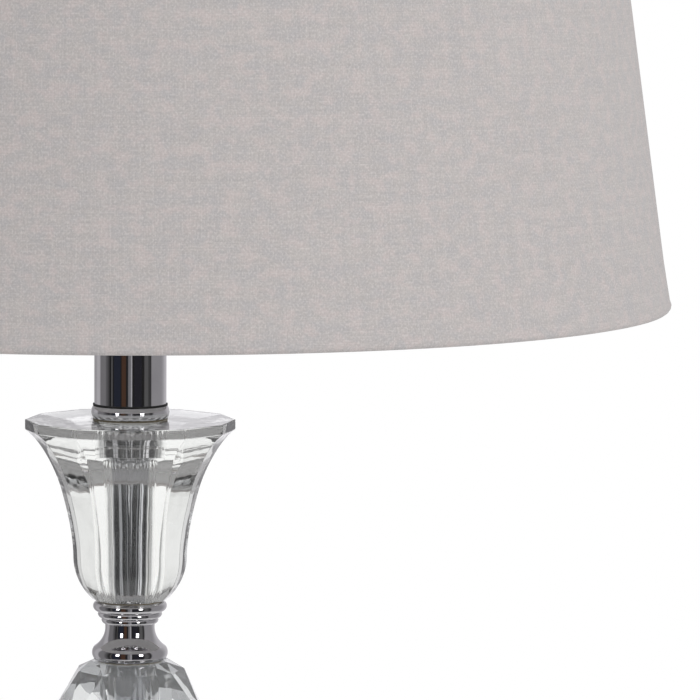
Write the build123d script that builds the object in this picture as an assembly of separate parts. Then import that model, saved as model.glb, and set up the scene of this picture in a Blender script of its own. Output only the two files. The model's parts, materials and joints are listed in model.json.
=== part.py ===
from build123d import *
import math
import os

# Candlestick table lamp. Millimetres, +Z up, origin under the middle of the felt pad.
# Crystal and chrome pieces are threaded on one hollow rod and clamped by the nut under the base.

# ---- rod and the clearances shared by everything threaded on it
ROD_RADIUS = 5.0
ROD_BORE_RADIUS = 3.5
ROD_CLEARANCE = 0.15
WASHER_THICKNESS = 0.5
WASHER_OUTER_RADIUS = 10.9
CRYSTAL_BORE_RADIUS = 6.6
SLEEVE_RADIUS = 5.9
SLEEVE_WALL = 0.5

# ---- base
BASE_RADIUS = 76.0
FELT_MARGIN = 2.5
FELT_RADIUS = BASE_RADIUS - FELT_MARGIN
FELT_THICKNESS = 2.0
BASE_HEIGHT = 34.0
BASE_WALL = 1.2
BASE_EDGE_CLEARANCE = 1.0
BASE_RIM_HEIGHT = 12.5
BASE_CORNER = 3.0
BASE_STEP_SETBACK = 6.0
BASE_STEP_RADIUS = BASE_RADIUS - BASE_STEP_SETBACK
BASE_STEP_HEIGHT = 3.0
BASE_SHOULDER_RADIUS = 30.0
BASE_SHOULDER_HEIGHT = 4.0
BASE_TOP_RADIUS = 17.0
BASE_TOP_BAND = 2.5
WEIGHT_MARGIN = 12.0
WEIGHT_RADIUS = BASE_RADIUS - WEIGHT_MARGIN
WEIGHT_THICKNESS = 11.0
WEIGHT_HUB_RADIUS = 13.0
WEIGHT_POCKET_RADIUS = 17.0
WEIGHT_POCKET_DEPTH = 8.0
CORD_CHANNEL_WIDTH = 10.0
ROD_WASHER_RADIUS = 12.0
ROD_WASHER_THICKNESS = 1.4
LOCK_WASHER_RADIUS = 8.6
LOCK_WASHER_THICKNESS = 1.0
LOCK_WASHER_TEETH = 8
NUT_FLATS = 14.0
NUT_HEIGHT = 4.0
ROD_TAIL = 0.8
CORD_RADIUS = 3.4
BUSHING_SHANK_RADIUS = 4.4
BUSHING_FLANGE_RADIUS = 5.4
BUSHING_FLANGE = 1.6
BUSHING_HEIGHT = 9.0

# ---- chrome reel between two crystals
REEL_FOOT_RADIUS = 12.65
REEL_FOOT_HEIGHT = 4.4
REEL_NECK_RADIUS = 8.4
REEL_NECK_HEIGHT = 7.8
REEL_COLLAR_RADIUS = 9.5
REEL_COLLAR_HEIGHT = 2.0
REEL_RING_RADIUS = 10.7
REEL_RING_HEIGHT = 2.0
REEL_HEAD_RADIUS = 12.3
REEL_HEAD_HEIGHT = 3.3

# ---- faceted crystal balls
BALL_SIDES = 9
BALL_HEIGHT = 50.0
BALL_FLAT_RADIUS = 13.0
BALL_CROWN_RADIUS = 18.1
BALL_CROWN_DEPTH = 2.8
BALL_BELT_RADIUS = 27.6
BALL_BELT_DEPTH = 20.5

# ---- long crystal column
COLUMN_SIDES = 12
COLUMN_HEIGHT = 112.0
COLUMN_FOOT_RADIUS = 14.0
COLUMN_BELLY_RADIUS = 21.5
COLUMN_BELLY_HEIGHT = 14.0
COLUMN_WAIST_RADIUS = 14.2
COLUMN_HEAD_RADIUS = 19.0
COLUMN_HEAD_DEPTH = 11.0
COLUMN_TOP_RADIUS = 13.5
COLUMN_BELLY_SLOPE = (-0.05, 1)
COLUMN_HEAD_SLOPE = (0.9, 1)

# ---- crystal bell cup
CUP_SIDES = 12
CUP_HEIGHT = 60.3
CUP_RIM_RADIUS = 34.9
CUP_RIM_BAND = 3.3
CUP_FLARE_RADIUS = 28.0
CUP_FLARE_DEPTH = 8.3
CUP_SHOULDER_RADIUS = 22.6
CUP_SHOULDER_DEPTH = 21.1
CUP_WAIST_RADIUS = 18.9
CUP_WAIST_HEIGHT = 14.5
CUP_FOOT_RADIUS = 12.4
CUP_WAIST_SLOPE = (0.02, 1)
CUP_RIM_SLOPE = (1, 0.75)
CUP_SEAT_RADIUS = 9.3
CUP_SEAT_DEPTH = 7.0
SPIGOT_CLEARANCE = 0.3

# ---- collar and neck
COLLAR_RADIUS = 13.0
COLLAR_HEIGHT = 4.2
GASKET_RADIUS = 12.4
GASKET_THICKNESS = 0.6
NECK_RADIUS = 12.0
NECK_WALL = 0.9
NECK_HEIGHT = 46.0
NECK_CAP_THICKNESS = 2.0
NECK_CAP_SPIGOT = 4.0

# ---- harp saddle and its nut
SADDLE_THICKNESS = 1.6
SADDLE_WIDTH = 11.0
SADDLE_HALF_SPAN = 32.0
SADDLE_HUB_RADIUS = 10.5
EAR_SETBACK = 5.6
EAR_INNER_X = SADDLE_HALF_SPAN - EAR_SETBACK
EAR_THICKNESS = 1.4
EAR_WIDTH = 4.8
EAR_HEIGHT = 12.0
SADDLE_NUT_FLATS = 14.0
SADDLE_NUT_HEIGHT = 3.0

# ---- harp
HARP_WIRE_RADIUS = 1.6
HARP_HEIGHT = 196.0
HARP_LEG_STRAIGHT = 42.0
HARP_HALF_WIDTH = 57.0
HARP_WIDEST_HEIGHT = 92.0
HARP_SHOULDER_HALF_WIDTH = 46.0
HARP_SHOULDER_DROP = 26.0
HARP_TOP_HALF_WIDTH = 16.0
HARP_EYE_RADIUS = 6.0
HARP_SLEEVE_LENGTH = 13.0
HARP_SLEEVE_RADIUS = 4.4
HARP_SLEEVE_BORE = 3.6
HARP_FIT = 0.2

# ---- swivel stud on the harp
STUD_SHANK_RADIUS = 2.0
STUD_FLANGE_RADIUS = 7.5
STUD_FLANGE_THICKNESS = 1.2
STUD_RIVET_RADIUS = 3.6
STUD_RIVET_THICKNESS = 1.2
STUD_THREAD_RADIUS = 3.1
STUD_THREAD_LENGTH = 13.0
RUNNING_FIT = 0.05

# ---- lampholder
HOLDER_HUB_RADIUS = 7.5
HOLDER_HUB_HEIGHT = 8.0
HOLDER_CAP_HEIGHT = 21.0
HOLDER_RADIUS = 16.0
HOLDER_WALL = 0.7
HOLDER_SHELL_HEIGHT = 38.0
HOLDER_SHELL_LAP = 3.0
LINER_GAP = 0.2
LINER_WALL = 0.6
SCREW_SHELL_BORE = 13.3
SCREW_SHELL_WALL = 0.6
HOLDER_CORE_RADIUS = 13.8
HOLDER_CORE_HEIGHT = 20.0
TERMINAL_HEAD_RADIUS = 2.4
TERMINAL_HEAD_HEIGHT = 1.6
TERMINAL_FLAT_X = 11.6
CONTACT_RADIUS = 3.4
CONTACT_HEIGHT = 2.2

# ---- turn knob, on the front of the lampholder
SWITCH_ABOVE_CAP = 4.0
SWITCH_SHAFT_RADIUS = 1.8
SWITCH_SHAFT_REACH = 18.0
SWITCH_SHAFT_DEPTH = 8.0
KNOB_RADIUS = 6.2
KNOB_LENGTH = 15.0
KNOB_FLUTES = 12
KNOB_FLUTE_RADIUS = 0.9
KNOB_EDGE = 1.0

# ---- bulb
BULB_CAP_RADIUS = 12.9
BULB_CAP_HEIGHT = 21.0
BULB_TIP_RADIUS = 4.6
BULB_TIP_HEIGHT = 2.6
BULB_INSULATOR_HEIGHT = 2.2
BULB_NECK_RADIUS = 12.6
BULB_GLOBE_RADIUS = 30.0
BULB_LENGTH = 112.0
BULB_WALL = 1.0
BULB_SHOULDER_ANGLE = 35.0
BULB_STEM_RADIUS = 3.0
BULB_STEM_LENGTH = 34.0
FILAMENT_COUNT = 4
FILAMENT_RADIUS = 1.0
FILAMENT_LENGTH = 32.0
FILAMENT_CIRCLE = 8.0

# ---- shade
SHADE_RADIUS = 178.0
SHADE_HEIGHT = 230.0
SHADE_TAPER = 0.1396
SHADE_BELOW_TOP_OF_NECK = 13.0
FABRIC_THICKNESS = 0.8
LINER_THICKNESS = 0.7
HEM_HEIGHT = 9.0
RING_WIRE_RADIUS = 1.5
RING_WIRE_SIDES = 6
SPIDER_ARMS = 3
SPIDER_ARM_RADIUS = 1.5
SPIDER_HUB_RADIUS = 11.0
SPIDER_HUB_THICKNESS = 2.0
SPIDER_HUB_CLEARANCE = 0.3
SPIDER_ARM_START = 9.0

# ---- finial
FINIAL_FOOT_RADIUS = 8.0
FINIAL_FOOT_HEIGHT = 4.0
FINIAL_WAIST_RADIUS = 5.2
FINIAL_WAIST_HEIGHT = 7.0
FINIAL_CUP_RADIUS = 7.0
FINIAL_CUP_HEIGHT = 3.5
FINIAL_BALL_SIDES = 9
FINIAL_BALL_HEIGHT = 21.0
FINIAL_FLAT_RADIUS = 6.2
FINIAL_CROWN_RADIUS = 8.2
FINIAL_CROWN_DEPTH = 1.3
FINIAL_BELT_RADIUS = 12.0
FINIAL_BELT_DEPTH = 8.3

# ---- heights of the stack, from the felt upwards
HOLE = ROD_RADIUS + ROD_CLEARANCE
REEL_HEIGHT = (
    REEL_FOOT_HEIGHT + REEL_NECK_HEIGHT + REEL_COLLAR_HEIGHT + REEL_RING_HEIGHT + REEL_HEAD_HEIGHT
)
BALL_STEP = REEL_HEIGHT + BALL_HEIGHT + 2 * WASHER_THICKNESS
LOWER_REEL_Z = BASE_HEIGHT
LOWER_BALL_Z = LOWER_REEL_Z + REEL_HEIGHT + WASHER_THICKNESS
COLUMN_REEL_Z = LOWER_REEL_Z + BALL_STEP
COLUMN_Z = COLUMN_REEL_Z + REEL_HEIGHT + WASHER_THICKNESS
UPPER_REEL_Z = COLUMN_Z + COLUMN_HEIGHT + WASHER_THICKNESS
UPPER_BALL_Z = UPPER_REEL_Z + REEL_HEIGHT + WASHER_THICKNESS
CUP_REEL_Z = UPPER_REEL_Z + BALL_STEP
CUP_Z = CUP_REEL_Z + REEL_HEIGHT + WASHER_THICKNESS
CUP_TOP_Z = CUP_Z + CUP_HEIGHT
COLLAR_Z = CUP_TOP_Z + WASHER_THICKNESS
GASKET_Z = COLLAR_Z + COLLAR_HEIGHT
NECK_Z = GASKET_Z + GASKET_THICKNESS
NECK_CAP_Z = NECK_Z + NECK_HEIGHT
SADDLE_Z = NECK_CAP_Z + NECK_CAP_THICKNESS
SADDLE_TOP_Z = SADDLE_Z + SADDLE_THICKNESS
HOLDER_Z = SADDLE_TOP_Z + SADDLE_NUT_HEIGHT
HOLDER_SHELL_Z = HOLDER_Z + HOLDER_CAP_HEIGHT - HOLDER_SHELL_LAP
HOLDER_TOP_Z = HOLDER_SHELL_Z + HOLDER_SHELL_HEIGHT
CORE_Z = HOLDER_Z + HOLDER_HUB_HEIGHT + HOLDER_WALL
CORE_TOP_Z = CORE_Z + HOLDER_CORE_HEIGHT
SWITCH_Z = HOLDER_Z + HOLDER_CAP_HEIGHT + SWITCH_ABOVE_CAP
BULB_Z = CORE_TOP_Z + CONTACT_HEIGHT + HARP_FIT
HARP_TOP_Z = SADDLE_TOP_Z + HARP_HEIGHT
STUD_Z = HARP_TOP_Z + HARP_WIRE_RADIUS + RUNNING_FIT
HUB_Z = STUD_Z + STUD_FLANGE_THICKNESS
SHADE_Z = NECK_CAP_Z - SHADE_BELOW_TOP_OF_NECK
SHADE_TOP_Z = SHADE_Z + SHADE_HEIGHT
FINIAL_Z = HUB_Z + SPIDER_HUB_THICKNESS
WEIGHT_SEAT_Z = FELT_THICKNESS + WEIGHT_POCKET_DEPTH
ROD_Z = WEIGHT_SEAT_Z - ROD_WASHER_THICKNESS - LOCK_WASHER_THICKNESS - NUT_HEIGHT - ROD_TAIL
ROD_TOP_Z = HOLDER_Z + HOLDER_HUB_HEIGHT
LEG_X = EAR_INNER_X + EAR_THICKNESS + HARP_FIT + HARP_WIRE_RADIUS
SLEEVE_X = (EAR_INNER_X + LEG_X + HARP_WIRE_RADIUS) / 2


# ---- shared shapes
def turned(*edges):
    """A solid of revolution from a closed chain of edges drawn as (radius, height)."""
    return revolve(Plane.XZ * make_face(edges), Axis.Z)


def turned_polygon(*points):
    return turned(*Polyline(*points, close=True).edges())


def ring(outer, inner, height, z=0.0):
    """A flat washer or tube standing on height z."""
    return turned_polygon((inner, z), (outer, z), (outer, z + height), (inner, z + height))


def disc(radius, height, z=0.0):
    return Pos(0, 0, z + height / 2) * Cylinder(radius, height)


def hex_nut(flats, height, z):
    blank = extrude(RegularPolygon(flats / 2, 6, major_radius=False), height)
    chamfer_cone = turned_polygon(
        (0, 0),
        (flats / 2, 0),
        (flats / 2 + height / 4, height / 4),
        (flats / 2 + height / 4, height * 3 / 4),
        (flats / 2, height),
        (0, height),
    )
    return Pos(0, 0, z) * ((blank & chamfer_cone) - disc(HOLE, height))


def bead(radius, foot, z, height, head=None):
    """The outer arc of a rounded ring: from radius foot, out to radius, back to radius head."""
    head = foot if head is None else head
    return ThreePointArc((foot, z), (radius, z + height / 2), (head, z + height))


def panelled(flank, sides, turn):
    """A body ground to flat-sided panels: the flank, drawn as (radius over corners, height) from
    bottom to top, is cut straight across each pair of opposite panels."""
    foot = flank @ 0
    head = flank @ 1
    half = make_face(
        [
            *flank.edges(),
            Line((head.X, head.Y), (0, head.Y)),
            Line((0, head.Y), (0, foot.Y)),
            Line((0, foot.Y), (foot.X, foot.Y)),
        ]
    )
    across = half + mirror(half, Plane.YZ)
    reach = 2 * max(edge.bounding_box().max.X for edge in flank.edges())
    slab = extrude(Plane.XZ * across, reach / 2, both=True)
    flat_radius = math.cos(math.pi / sides)
    slab = scale(slab, (flat_radius, 1, 1))
    body = Rot(0, 0, turn) * slab
    for index in range(1, sides // 2):
        body = body & (Rot(0, 0, turn + 360 / sides * index) * slab)
    return body


def ball_ring(radius, z, sides, lag):
    """A ring of corners, turned half a facet where lag is 1."""
    turns = [math.tau * (side + lag / 2) / sides for side in range(sides)]
    return [(radius * math.cos(turn), radius * math.sin(turn), z) for turn in turns]


def faceted_ball(sides, height, flat_radius, crown, belt):
    """A cut-crystal ball with flat ends. At each end a shallow crown, then long facets down to the
    belt, both given as (radius over corners, depth from that end). Each ring of corners sits half
    a facet round from the last, so that every facet is a triangle."""
    end = [(flat_radius, 0), crown, belt]
    rings = end + [(radius, height - depth) for radius, depth in reversed(end)]
    lags = [row % 2 for row in range(len(rings))]
    corners = [ball_ring(radius, z, sides, lag) for (radius, z), lag in zip(rings, lags)]
    facets = [corners[0], corners[-1]]
    for low, high, lag in zip(corners, corners[1:], lags):
        for side in range(sides):
            after = (side + 1) % sides
            facets.append([low[side], low[after], high[(side + lag) % sides]])
            facets.append([high[side], high[after], low[(side + 1 - lag) % sides]])
    faces = [Face(Wire.make_polygon(facet, close=True)) for facet in facets]
    return Solid(Shell(faces))


# ---- base
def make_felt_pad():
    return disc(FELT_RADIUS, FELT_THICKNESS)


def base_outline(inset):
    """The spun cover's skin: an upright rim, one step, a long hollow sweep and a small dome."""
    rim_z = BASE_EDGE_CLEARANCE + BASE_RIM_HEIGHT - inset
    step_z = rim_z + BASE_STEP_HEIGHT
    band_z = BASE_HEIGHT - BASE_TOP_BAND - inset
    shoulder_z = band_z - BASE_SHOULDER_HEIGHT
    rim_r = BASE_RADIUS - inset
    step_r = BASE_STEP_RADIUS - inset
    shoulder_r = BASE_SHOULDER_RADIUS - inset
    top_r = BASE_TOP_RADIUS - inset
    corner = BASE_CORNER - inset
    sweep_mid = ((step_r + 2 * shoulder_r) / 3, (2 * step_z + shoulder_z) / 3)
    dome_mid = ((shoulder_r + top_r) / 2 + (shoulder_r - top_r) / 8, (shoulder_z + band_z) / 2)
    return [
        Line((0, 0), (rim_r, 0)),
        Line((rim_r, 0), (rim_r, rim_z - corner)),
        RadiusArc((rim_r, rim_z - corner), (rim_r - corner, rim_z), -corner),
        Line((rim_r - corner, rim_z), (step_r, rim_z)),
        Line((step_r, rim_z), (step_r, step_z)),
        ThreePointArc((step_r, step_z), sweep_mid, (shoulder_r, shoulder_z)),
        ThreePointArc((shoulder_r, shoulder_z), dome_mid, (top_r, band_z)),
        Line((top_r, band_z), (top_r, BASE_HEIGHT - inset)),
        Line((top_r, BASE_HEIGHT - inset), (0, BASE_HEIGHT - inset)),
        Line((0, BASE_HEIGHT - inset), (0, 0)),
    ]


def make_base_cover():
    cover = turned(*base_outline(0)) - turned(*base_outline(BASE_WALL))
    cover -= disc(HOLE, BASE_HEIGHT)
    cover -= disc(BASE_RADIUS + 1, BASE_EDGE_CLEARANCE)
    inlet = Cylinder(BUSHING_SHANK_RADIUS + ROD_CLEARANCE, 4 * BASE_WALL, rotation=(90, 0, 0))
    return cover - Pos(0, BASE_RADIUS - BASE_WALL, bushing_z()) * inlet


def bushing_z():
    """The inlet's height: half way up the straight part of the rim."""
    return BASE_EDGE_CLEARANCE + (BASE_RIM_HEIGHT - BASE_CORNER) / 2 + BASE_WALL


def make_base_weight():
    """The cast disc that steadies the lamp, with a hub up to the cover, a pocket for the nut
    and a channel for the lead."""
    top_z = FELT_THICKNESS + WEIGHT_THICKNESS
    hub_z = BASE_HEIGHT - BASE_WALL
    weight = ring(WEIGHT_RADIUS, HOLE, WEIGHT_THICKNESS, FELT_THICKNESS)
    weight += ring(WEIGHT_HUB_RADIUS, HOLE, hub_z - top_z, top_z)
    weight -= disc(WEIGHT_POCKET_RADIUS, WEIGHT_POCKET_DEPTH, FELT_THICKNESS)
    channel = Box(CORD_CHANNEL_WIDTH, WEIGHT_RADIUS, WEIGHT_POCKET_DEPTH)
    channel_z = FELT_THICKNESS + WEIGHT_POCKET_DEPTH / 2
    return weight - Pos(0, WEIGHT_RADIUS / 2, channel_z) * channel


def make_rod_washer():
    return ring(ROD_WASHER_RADIUS, HOLE, ROD_WASHER_THICKNESS, WEIGHT_SEAT_Z - ROD_WASHER_THICKNESS)


def make_lock_washer():
    """A toothed spring washer between the flat washer and the nut."""
    z = WEIGHT_SEAT_Z - ROD_WASHER_THICKNESS - LOCK_WASHER_THICKNESS
    washer = ring(LOCK_WASHER_RADIUS, HOLE, LOCK_WASHER_THICKNESS, z)
    notch = Pos(LOCK_WASHER_RADIUS, 0, z + LOCK_WASHER_THICKNESS / 2) * Box(
        LOCK_WASHER_RADIUS / 3, LOCK_WASHER_RADIUS / 6, 2 * LOCK_WASHER_THICKNESS
    )
    turns = [360 / LOCK_WASHER_TEETH * index for index in range(LOCK_WASHER_TEETH)]
    return washer - [Rot(0, 0, turn) * notch for turn in turns]


def make_base_nut():
    z = WEIGHT_SEAT_Z - ROD_WASHER_THICKNESS - LOCK_WASHER_THICKNESS - NUT_HEIGHT
    return hex_nut(NUT_FLATS, NUT_HEIGHT, z)


def make_cord_bushing():
    """The inlet in the back of the base: a flanged insulating bush that the lead would pass."""
    bush = turned_polygon(
        (CORD_RADIUS, 0),
        (BUSHING_SHANK_RADIUS, 0),
        (BUSHING_SHANK_RADIUS, BUSHING_HEIGHT - BUSHING_FLANGE),
        (BUSHING_FLANGE_RADIUS, BUSHING_HEIGHT - BUSHING_FLANGE),
        (BUSHING_FLANGE_RADIUS - BUSHING_FLANGE / 3, BUSHING_HEIGHT),
        (CORD_RADIUS, BUSHING_HEIGHT),
    )
    inner_end = BASE_RADIUS - BUSHING_HEIGHT + BUSHING_FLANGE
    return Pos(0, inner_end, bushing_z()) * (Rot(-90, 0, 0) * bush)


# ---- stack
def make_threaded_rod():
    return ring(ROD_RADIUS, ROD_BORE_RADIUS, ROD_TOP_Z - ROD_Z, ROD_Z)


def make_reel(z):
    """A turned chrome spool: foot bead, hollow neck, two stepped rings and a head bead."""
    neck_z = REEL_FOOT_HEIGHT + REEL_NECK_HEIGHT
    ring_z = neck_z + REEL_COLLAR_HEIGHT
    head_z = ring_z + REEL_RING_HEIGHT
    foot_in = REEL_FOOT_RADIUS - REEL_FOOT_HEIGHT / 5
    ring_in = REEL_RING_RADIUS - REEL_RING_HEIGHT / 4
    collar_in = REEL_COLLAR_RADIUS - REEL_COLLAR_HEIGHT / 4
    head_in = REEL_HEAD_RADIUS - REEL_HEAD_HEIGHT / 3
    waist = (REEL_NECK_RADIUS + (foot_in - REEL_NECK_RADIUS) / 4, REEL_FOOT_HEIGHT + REEL_NECK_HEIGHT / 3)
    reel = turned(
        Line((HOLE, 0), (foot_in, 0)),
        bead(REEL_FOOT_RADIUS, foot_in, 0, REEL_FOOT_HEIGHT),
        ThreePointArc((foot_in, REEL_FOOT_HEIGHT), waist, (REEL_NECK_RADIUS, neck_z)),
        Line((REEL_NECK_RADIUS, neck_z), (collar_in, neck_z)),
        bead(REEL_COLLAR_RADIUS, collar_in, neck_z, REEL_COLLAR_HEIGHT),
        Line((collar_in, ring_z), (ring_in, ring_z)),
        bead(REEL_RING_RADIUS, ring_in, ring_z, REEL_RING_HEIGHT),
        Line((ring_in, head_z), (head_in, head_z)),
        bead(REEL_HEAD_RADIUS, head_in, head_z, REEL_HEAD_HEIGHT),
        Line((head_in, REEL_HEIGHT), (HOLE, REEL_HEIGHT)),
        Line((HOLE, REEL_HEIGHT), (HOLE, 0)),
    )
    return Pos(0, 0, z) * reel


def make_ball(z):
    crown = (BALL_CROWN_RADIUS, BALL_CROWN_DEPTH)
    belt = (BALL_BELT_RADIUS, BALL_BELT_DEPTH)
    ball = faceted_ball(BALL_SIDES, BALL_HEIGHT, BALL_FLAT_RADIUS, crown, belt)
    return Pos(0, 0, z) * (ball - disc(CRYSTAL_BORE_RADIUS, BALL_HEIGHT))


def make_column():
    """A long slender crystal, widest near its foot, with bevelled ends."""
    head_z = COLUMN_HEIGHT - COLUMN_HEAD_DEPTH
    waist_z = head_z - COLUMN_HEAD_DEPTH
    flank = Curve() + [
        Line((COLUMN_FOOT_RADIUS, 0), (COLUMN_BELLY_RADIUS, COLUMN_BELLY_HEIGHT)),
        Spline(
            (COLUMN_BELLY_RADIUS, COLUMN_BELLY_HEIGHT),
            (COLUMN_WAIST_RADIUS, waist_z),
            (COLUMN_HEAD_RADIUS, head_z),
            tangents=(COLUMN_BELLY_SLOPE, COLUMN_HEAD_SLOPE),
        ),
        Line((COLUMN_HEAD_RADIUS, head_z), (COLUMN_TOP_RADIUS, COLUMN_HEIGHT)),
    ]
    column = panelled(flank, COLUMN_SIDES, 180 / COLUMN_SIDES)
    return Pos(0, 0, COLUMN_Z) * (column - disc(CRYSTAL_BORE_RADIUS, COLUMN_HEIGHT))


def cup_flank():
    """Bottom to top: rounded foot, waist, hollow flare, then the upright band of the rim."""
    flare_z = CUP_HEIGHT - CUP_RIM_BAND - CUP_FLARE_DEPTH
    shoulder_z = CUP_HEIGHT - CUP_RIM_BAND - CUP_SHOULDER_DEPTH
    band_z = CUP_HEIGHT - CUP_RIM_BAND
    belly_depth = CUP_WAIST_RADIUS - CUP_FOOT_RADIUS
    belly_radius = (CUP_WAIST_HEIGHT**2 + belly_depth**2) / (2 * belly_depth)
    return Curve() + [
        RadiusArc((CUP_FOOT_RADIUS, 0), (CUP_WAIST_RADIUS, CUP_WAIST_HEIGHT), -belly_radius),
        Spline(
            (CUP_WAIST_RADIUS, CUP_WAIST_HEIGHT),
            (CUP_SHOULDER_RADIUS, shoulder_z),
            (CUP_FLARE_RADIUS, flare_z),
            (CUP_RIM_RADIUS, band_z),
            tangents=(CUP_WAIST_SLOPE, CUP_RIM_SLOPE),
        ),
        Line((CUP_RIM_RADIUS, band_z), (CUP_RIM_RADIUS, CUP_HEIGHT)),
    ]


def make_cup():
    """The bell cup under the neck, with a bore for the rod's sleeve and a seat for the collar."""
    cup = panelled(cup_flank(), CUP_SIDES, 180 / CUP_SIDES)
    cup -= disc(CRYSTAL_BORE_RADIUS, CUP_HEIGHT)
    cup -= disc(CUP_SEAT_RADIUS, CUP_SEAT_DEPTH, CUP_HEIGHT - CUP_SEAT_DEPTH)
    return Pos(0, 0, CUP_Z) * cup


def make_sleeve(crystal_z, length):
    """A chromed tube over the rod inside one crystal, from metal to metal."""
    z = crystal_z - WASHER_THICKNESS
    return ring(SLEEVE_RADIUS, SLEEVE_RADIUS - SLEEVE_WALL, length, z)


def make_crystal_washers():
    """Thin soft washers that keep each crystal off the metal above and below it."""
    seats = [
        LOWER_BALL_Z - WASHER_THICKNESS,
        LOWER_BALL_Z + BALL_HEIGHT,
        COLUMN_Z - WASHER_THICKNESS,
        COLUMN_Z + COLUMN_HEIGHT,
        UPPER_BALL_Z - WASHER_THICKNESS,
        UPPER_BALL_Z + BALL_HEIGHT,
        CUP_Z - WASHER_THICKNESS,
    ]
    small = [ring(WASHER_OUTER_RADIUS, CRYSTAL_BORE_RADIUS, WASHER_THICKNESS, z) for z in seats]
    return Compound(children=small + [ring(GASKET_RADIUS, CUP_SEAT_RADIUS, WASHER_THICKNESS, CUP_TOP_Z)])


def make_collar():
    """The bead under the neck, with a spigot that centres it in the cup."""
    spigot = CUP_SEAT_RADIUS - SPIGOT_CLEARANCE
    foot = COLLAR_RADIUS - COLLAR_HEIGHT / 6
    spigot_depth = WASHER_THICKNESS + CUP_SEAT_DEPTH - SPIGOT_CLEARANCE
    collar = turned(
        Line((HOLE, -spigot_depth), (spigot, -spigot_depth)),
        Line((spigot, -spigot_depth), (spigot, 0)),
        Line((spigot, 0), (foot, 0)),
        bead(COLLAR_RADIUS, foot, 0, COLLAR_HEIGHT),
        Line((foot, COLLAR_HEIGHT), (HOLE, COLLAR_HEIGHT)),
        Line((HOLE, COLLAR_HEIGHT), (HOLE, -spigot_depth)),
    )
    return Pos(0, 0, COLLAR_Z) * collar


def make_neck_gasket():
    return ring(GASKET_RADIUS, NECK_RADIUS - 2 * NECK_WALL, GASKET_THICKNESS, GASKET_Z)


def make_neck_tube():
    return ring(NECK_RADIUS, NECK_RADIUS - NECK_WALL, NECK_HEIGHT, NECK_Z)


def make_neck_cap():
    """The disc that closes the neck tube and centres it on the rod."""
    spigot = NECK_RADIUS - NECK_WALL - ROD_CLEARANCE
    cap = ring(NECK_RADIUS, HOLE, NECK_CAP_THICKNESS, NECK_CAP_Z)
    return cap + ring(spigot, HOLE, NECK_CAP_SPIGOT, NECK_CAP_Z - NECK_CAP_SPIGOT)


# ---- harp and its saddle
def make_harp_saddle():
    """A pressed strip with a round hub, two feet for the harp and an ear beside each foot."""
    strip = Box(2 * SADDLE_HALF_SPAN, SADDLE_WIDTH, SADDLE_THICKNESS)
    strip = fillet(strip.edges().filter_by(Axis.Z), SADDLE_WIDTH / 3)
    saddle = Pos(0, 0, SADDLE_Z + SADDLE_THICKNESS / 2) * strip
    saddle += disc(SADDLE_HUB_RADIUS, SADDLE_THICKNESS, SADDLE_Z)
    ear = Box(EAR_THICKNESS, EAR_WIDTH, EAR_HEIGHT)
    ear = fillet(ear.edges().filter_by(Axis.X).group_by(Axis.Z)[-1], EAR_WIDTH / 3)
    for side in (-1, 1):
        x = side * (EAR_INNER_X + EAR_THICKNESS / 2)
        saddle += Pos(x, 0, SADDLE_TOP_Z + EAR_HEIGHT / 2) * ear
    return saddle - disc(HOLE, SADDLE_THICKNESS, SADDLE_Z)


def make_saddle_nut():
    return hex_nut(SADDLE_NUT_FLATS, SADDLE_NUT_HEIGHT, SADDLE_TOP_Z)


def harp_corners():
    """The wire's half outline from the foot to the top, as (x, z)."""
    widest_z = SADDLE_TOP_Z + HARP_WIDEST_HEIGHT
    return [
        (LEG_X, SADDLE_TOP_Z + HARP_FIT),
        (LEG_X, SADDLE_TOP_Z + HARP_LEG_STRAIGHT),
        (HARP_HALF_WIDTH, widest_z),
        (HARP_SHOULDER_HALF_WIDTH, HARP_TOP_Z - HARP_SHOULDER_DROP),
        (HARP_TOP_HALF_WIDTH, HARP_TOP_Z),
    ]


def make_harp_wire():
    """One bent wire with a flattened eye at the top for the swivel stud."""
    half = harp_corners()
    corners = [(x, 0, z) for x, z in half] + [(-x, 0, z) for x, z in reversed(half)]
    bends = [HARP_LEG_STRAIGHT / 2, HARP_WIDEST_HEIGHT / 3, HARP_SHOULDER_DROP, HARP_SHOULDER_DROP]
    path = FilletPolyline(*corners, radius=bends + bends[::-1])
    start = Plane(origin=path @ 0, z_dir=path % 0)
    wire = sweep(start * Circle(HARP_WIRE_RADIUS), path=path)
    wire += disc(HARP_EYE_RADIUS, 2 * HARP_WIRE_RADIUS, HARP_TOP_Z - HARP_WIRE_RADIUS)
    hole = disc(STUD_SHANK_RADIUS + RUNNING_FIT, 4 * HARP_WIRE_RADIUS, HARP_TOP_Z - 2 * HARP_WIRE_RADIUS)
    return wire - hole


def make_harp_sleeve(side):
    """A locking sleeve that drops over the harp's foot and the saddle's ear."""
    z = SADDLE_TOP_Z + HARP_FIT
    edge = (HARP_SLEEVE_RADIUS - HARP_SLEEVE_BORE) / 2
    sleeve = turned_polygon(
        (HARP_SLEEVE_BORE, 0),
        (HARP_SLEEVE_RADIUS - edge, 0),
        (HARP_SLEEVE_RADIUS, edge),
        (HARP_SLEEVE_RADIUS, HARP_SLEEVE_LENGTH - edge),
        (HARP_SLEEVE_RADIUS - edge, HARP_SLEEVE_LENGTH),
        (HARP_SLEEVE_BORE, HARP_SLEEVE_LENGTH),
    )
    return Pos(side * SLEEVE_X, 0, z) * sleeve


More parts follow.
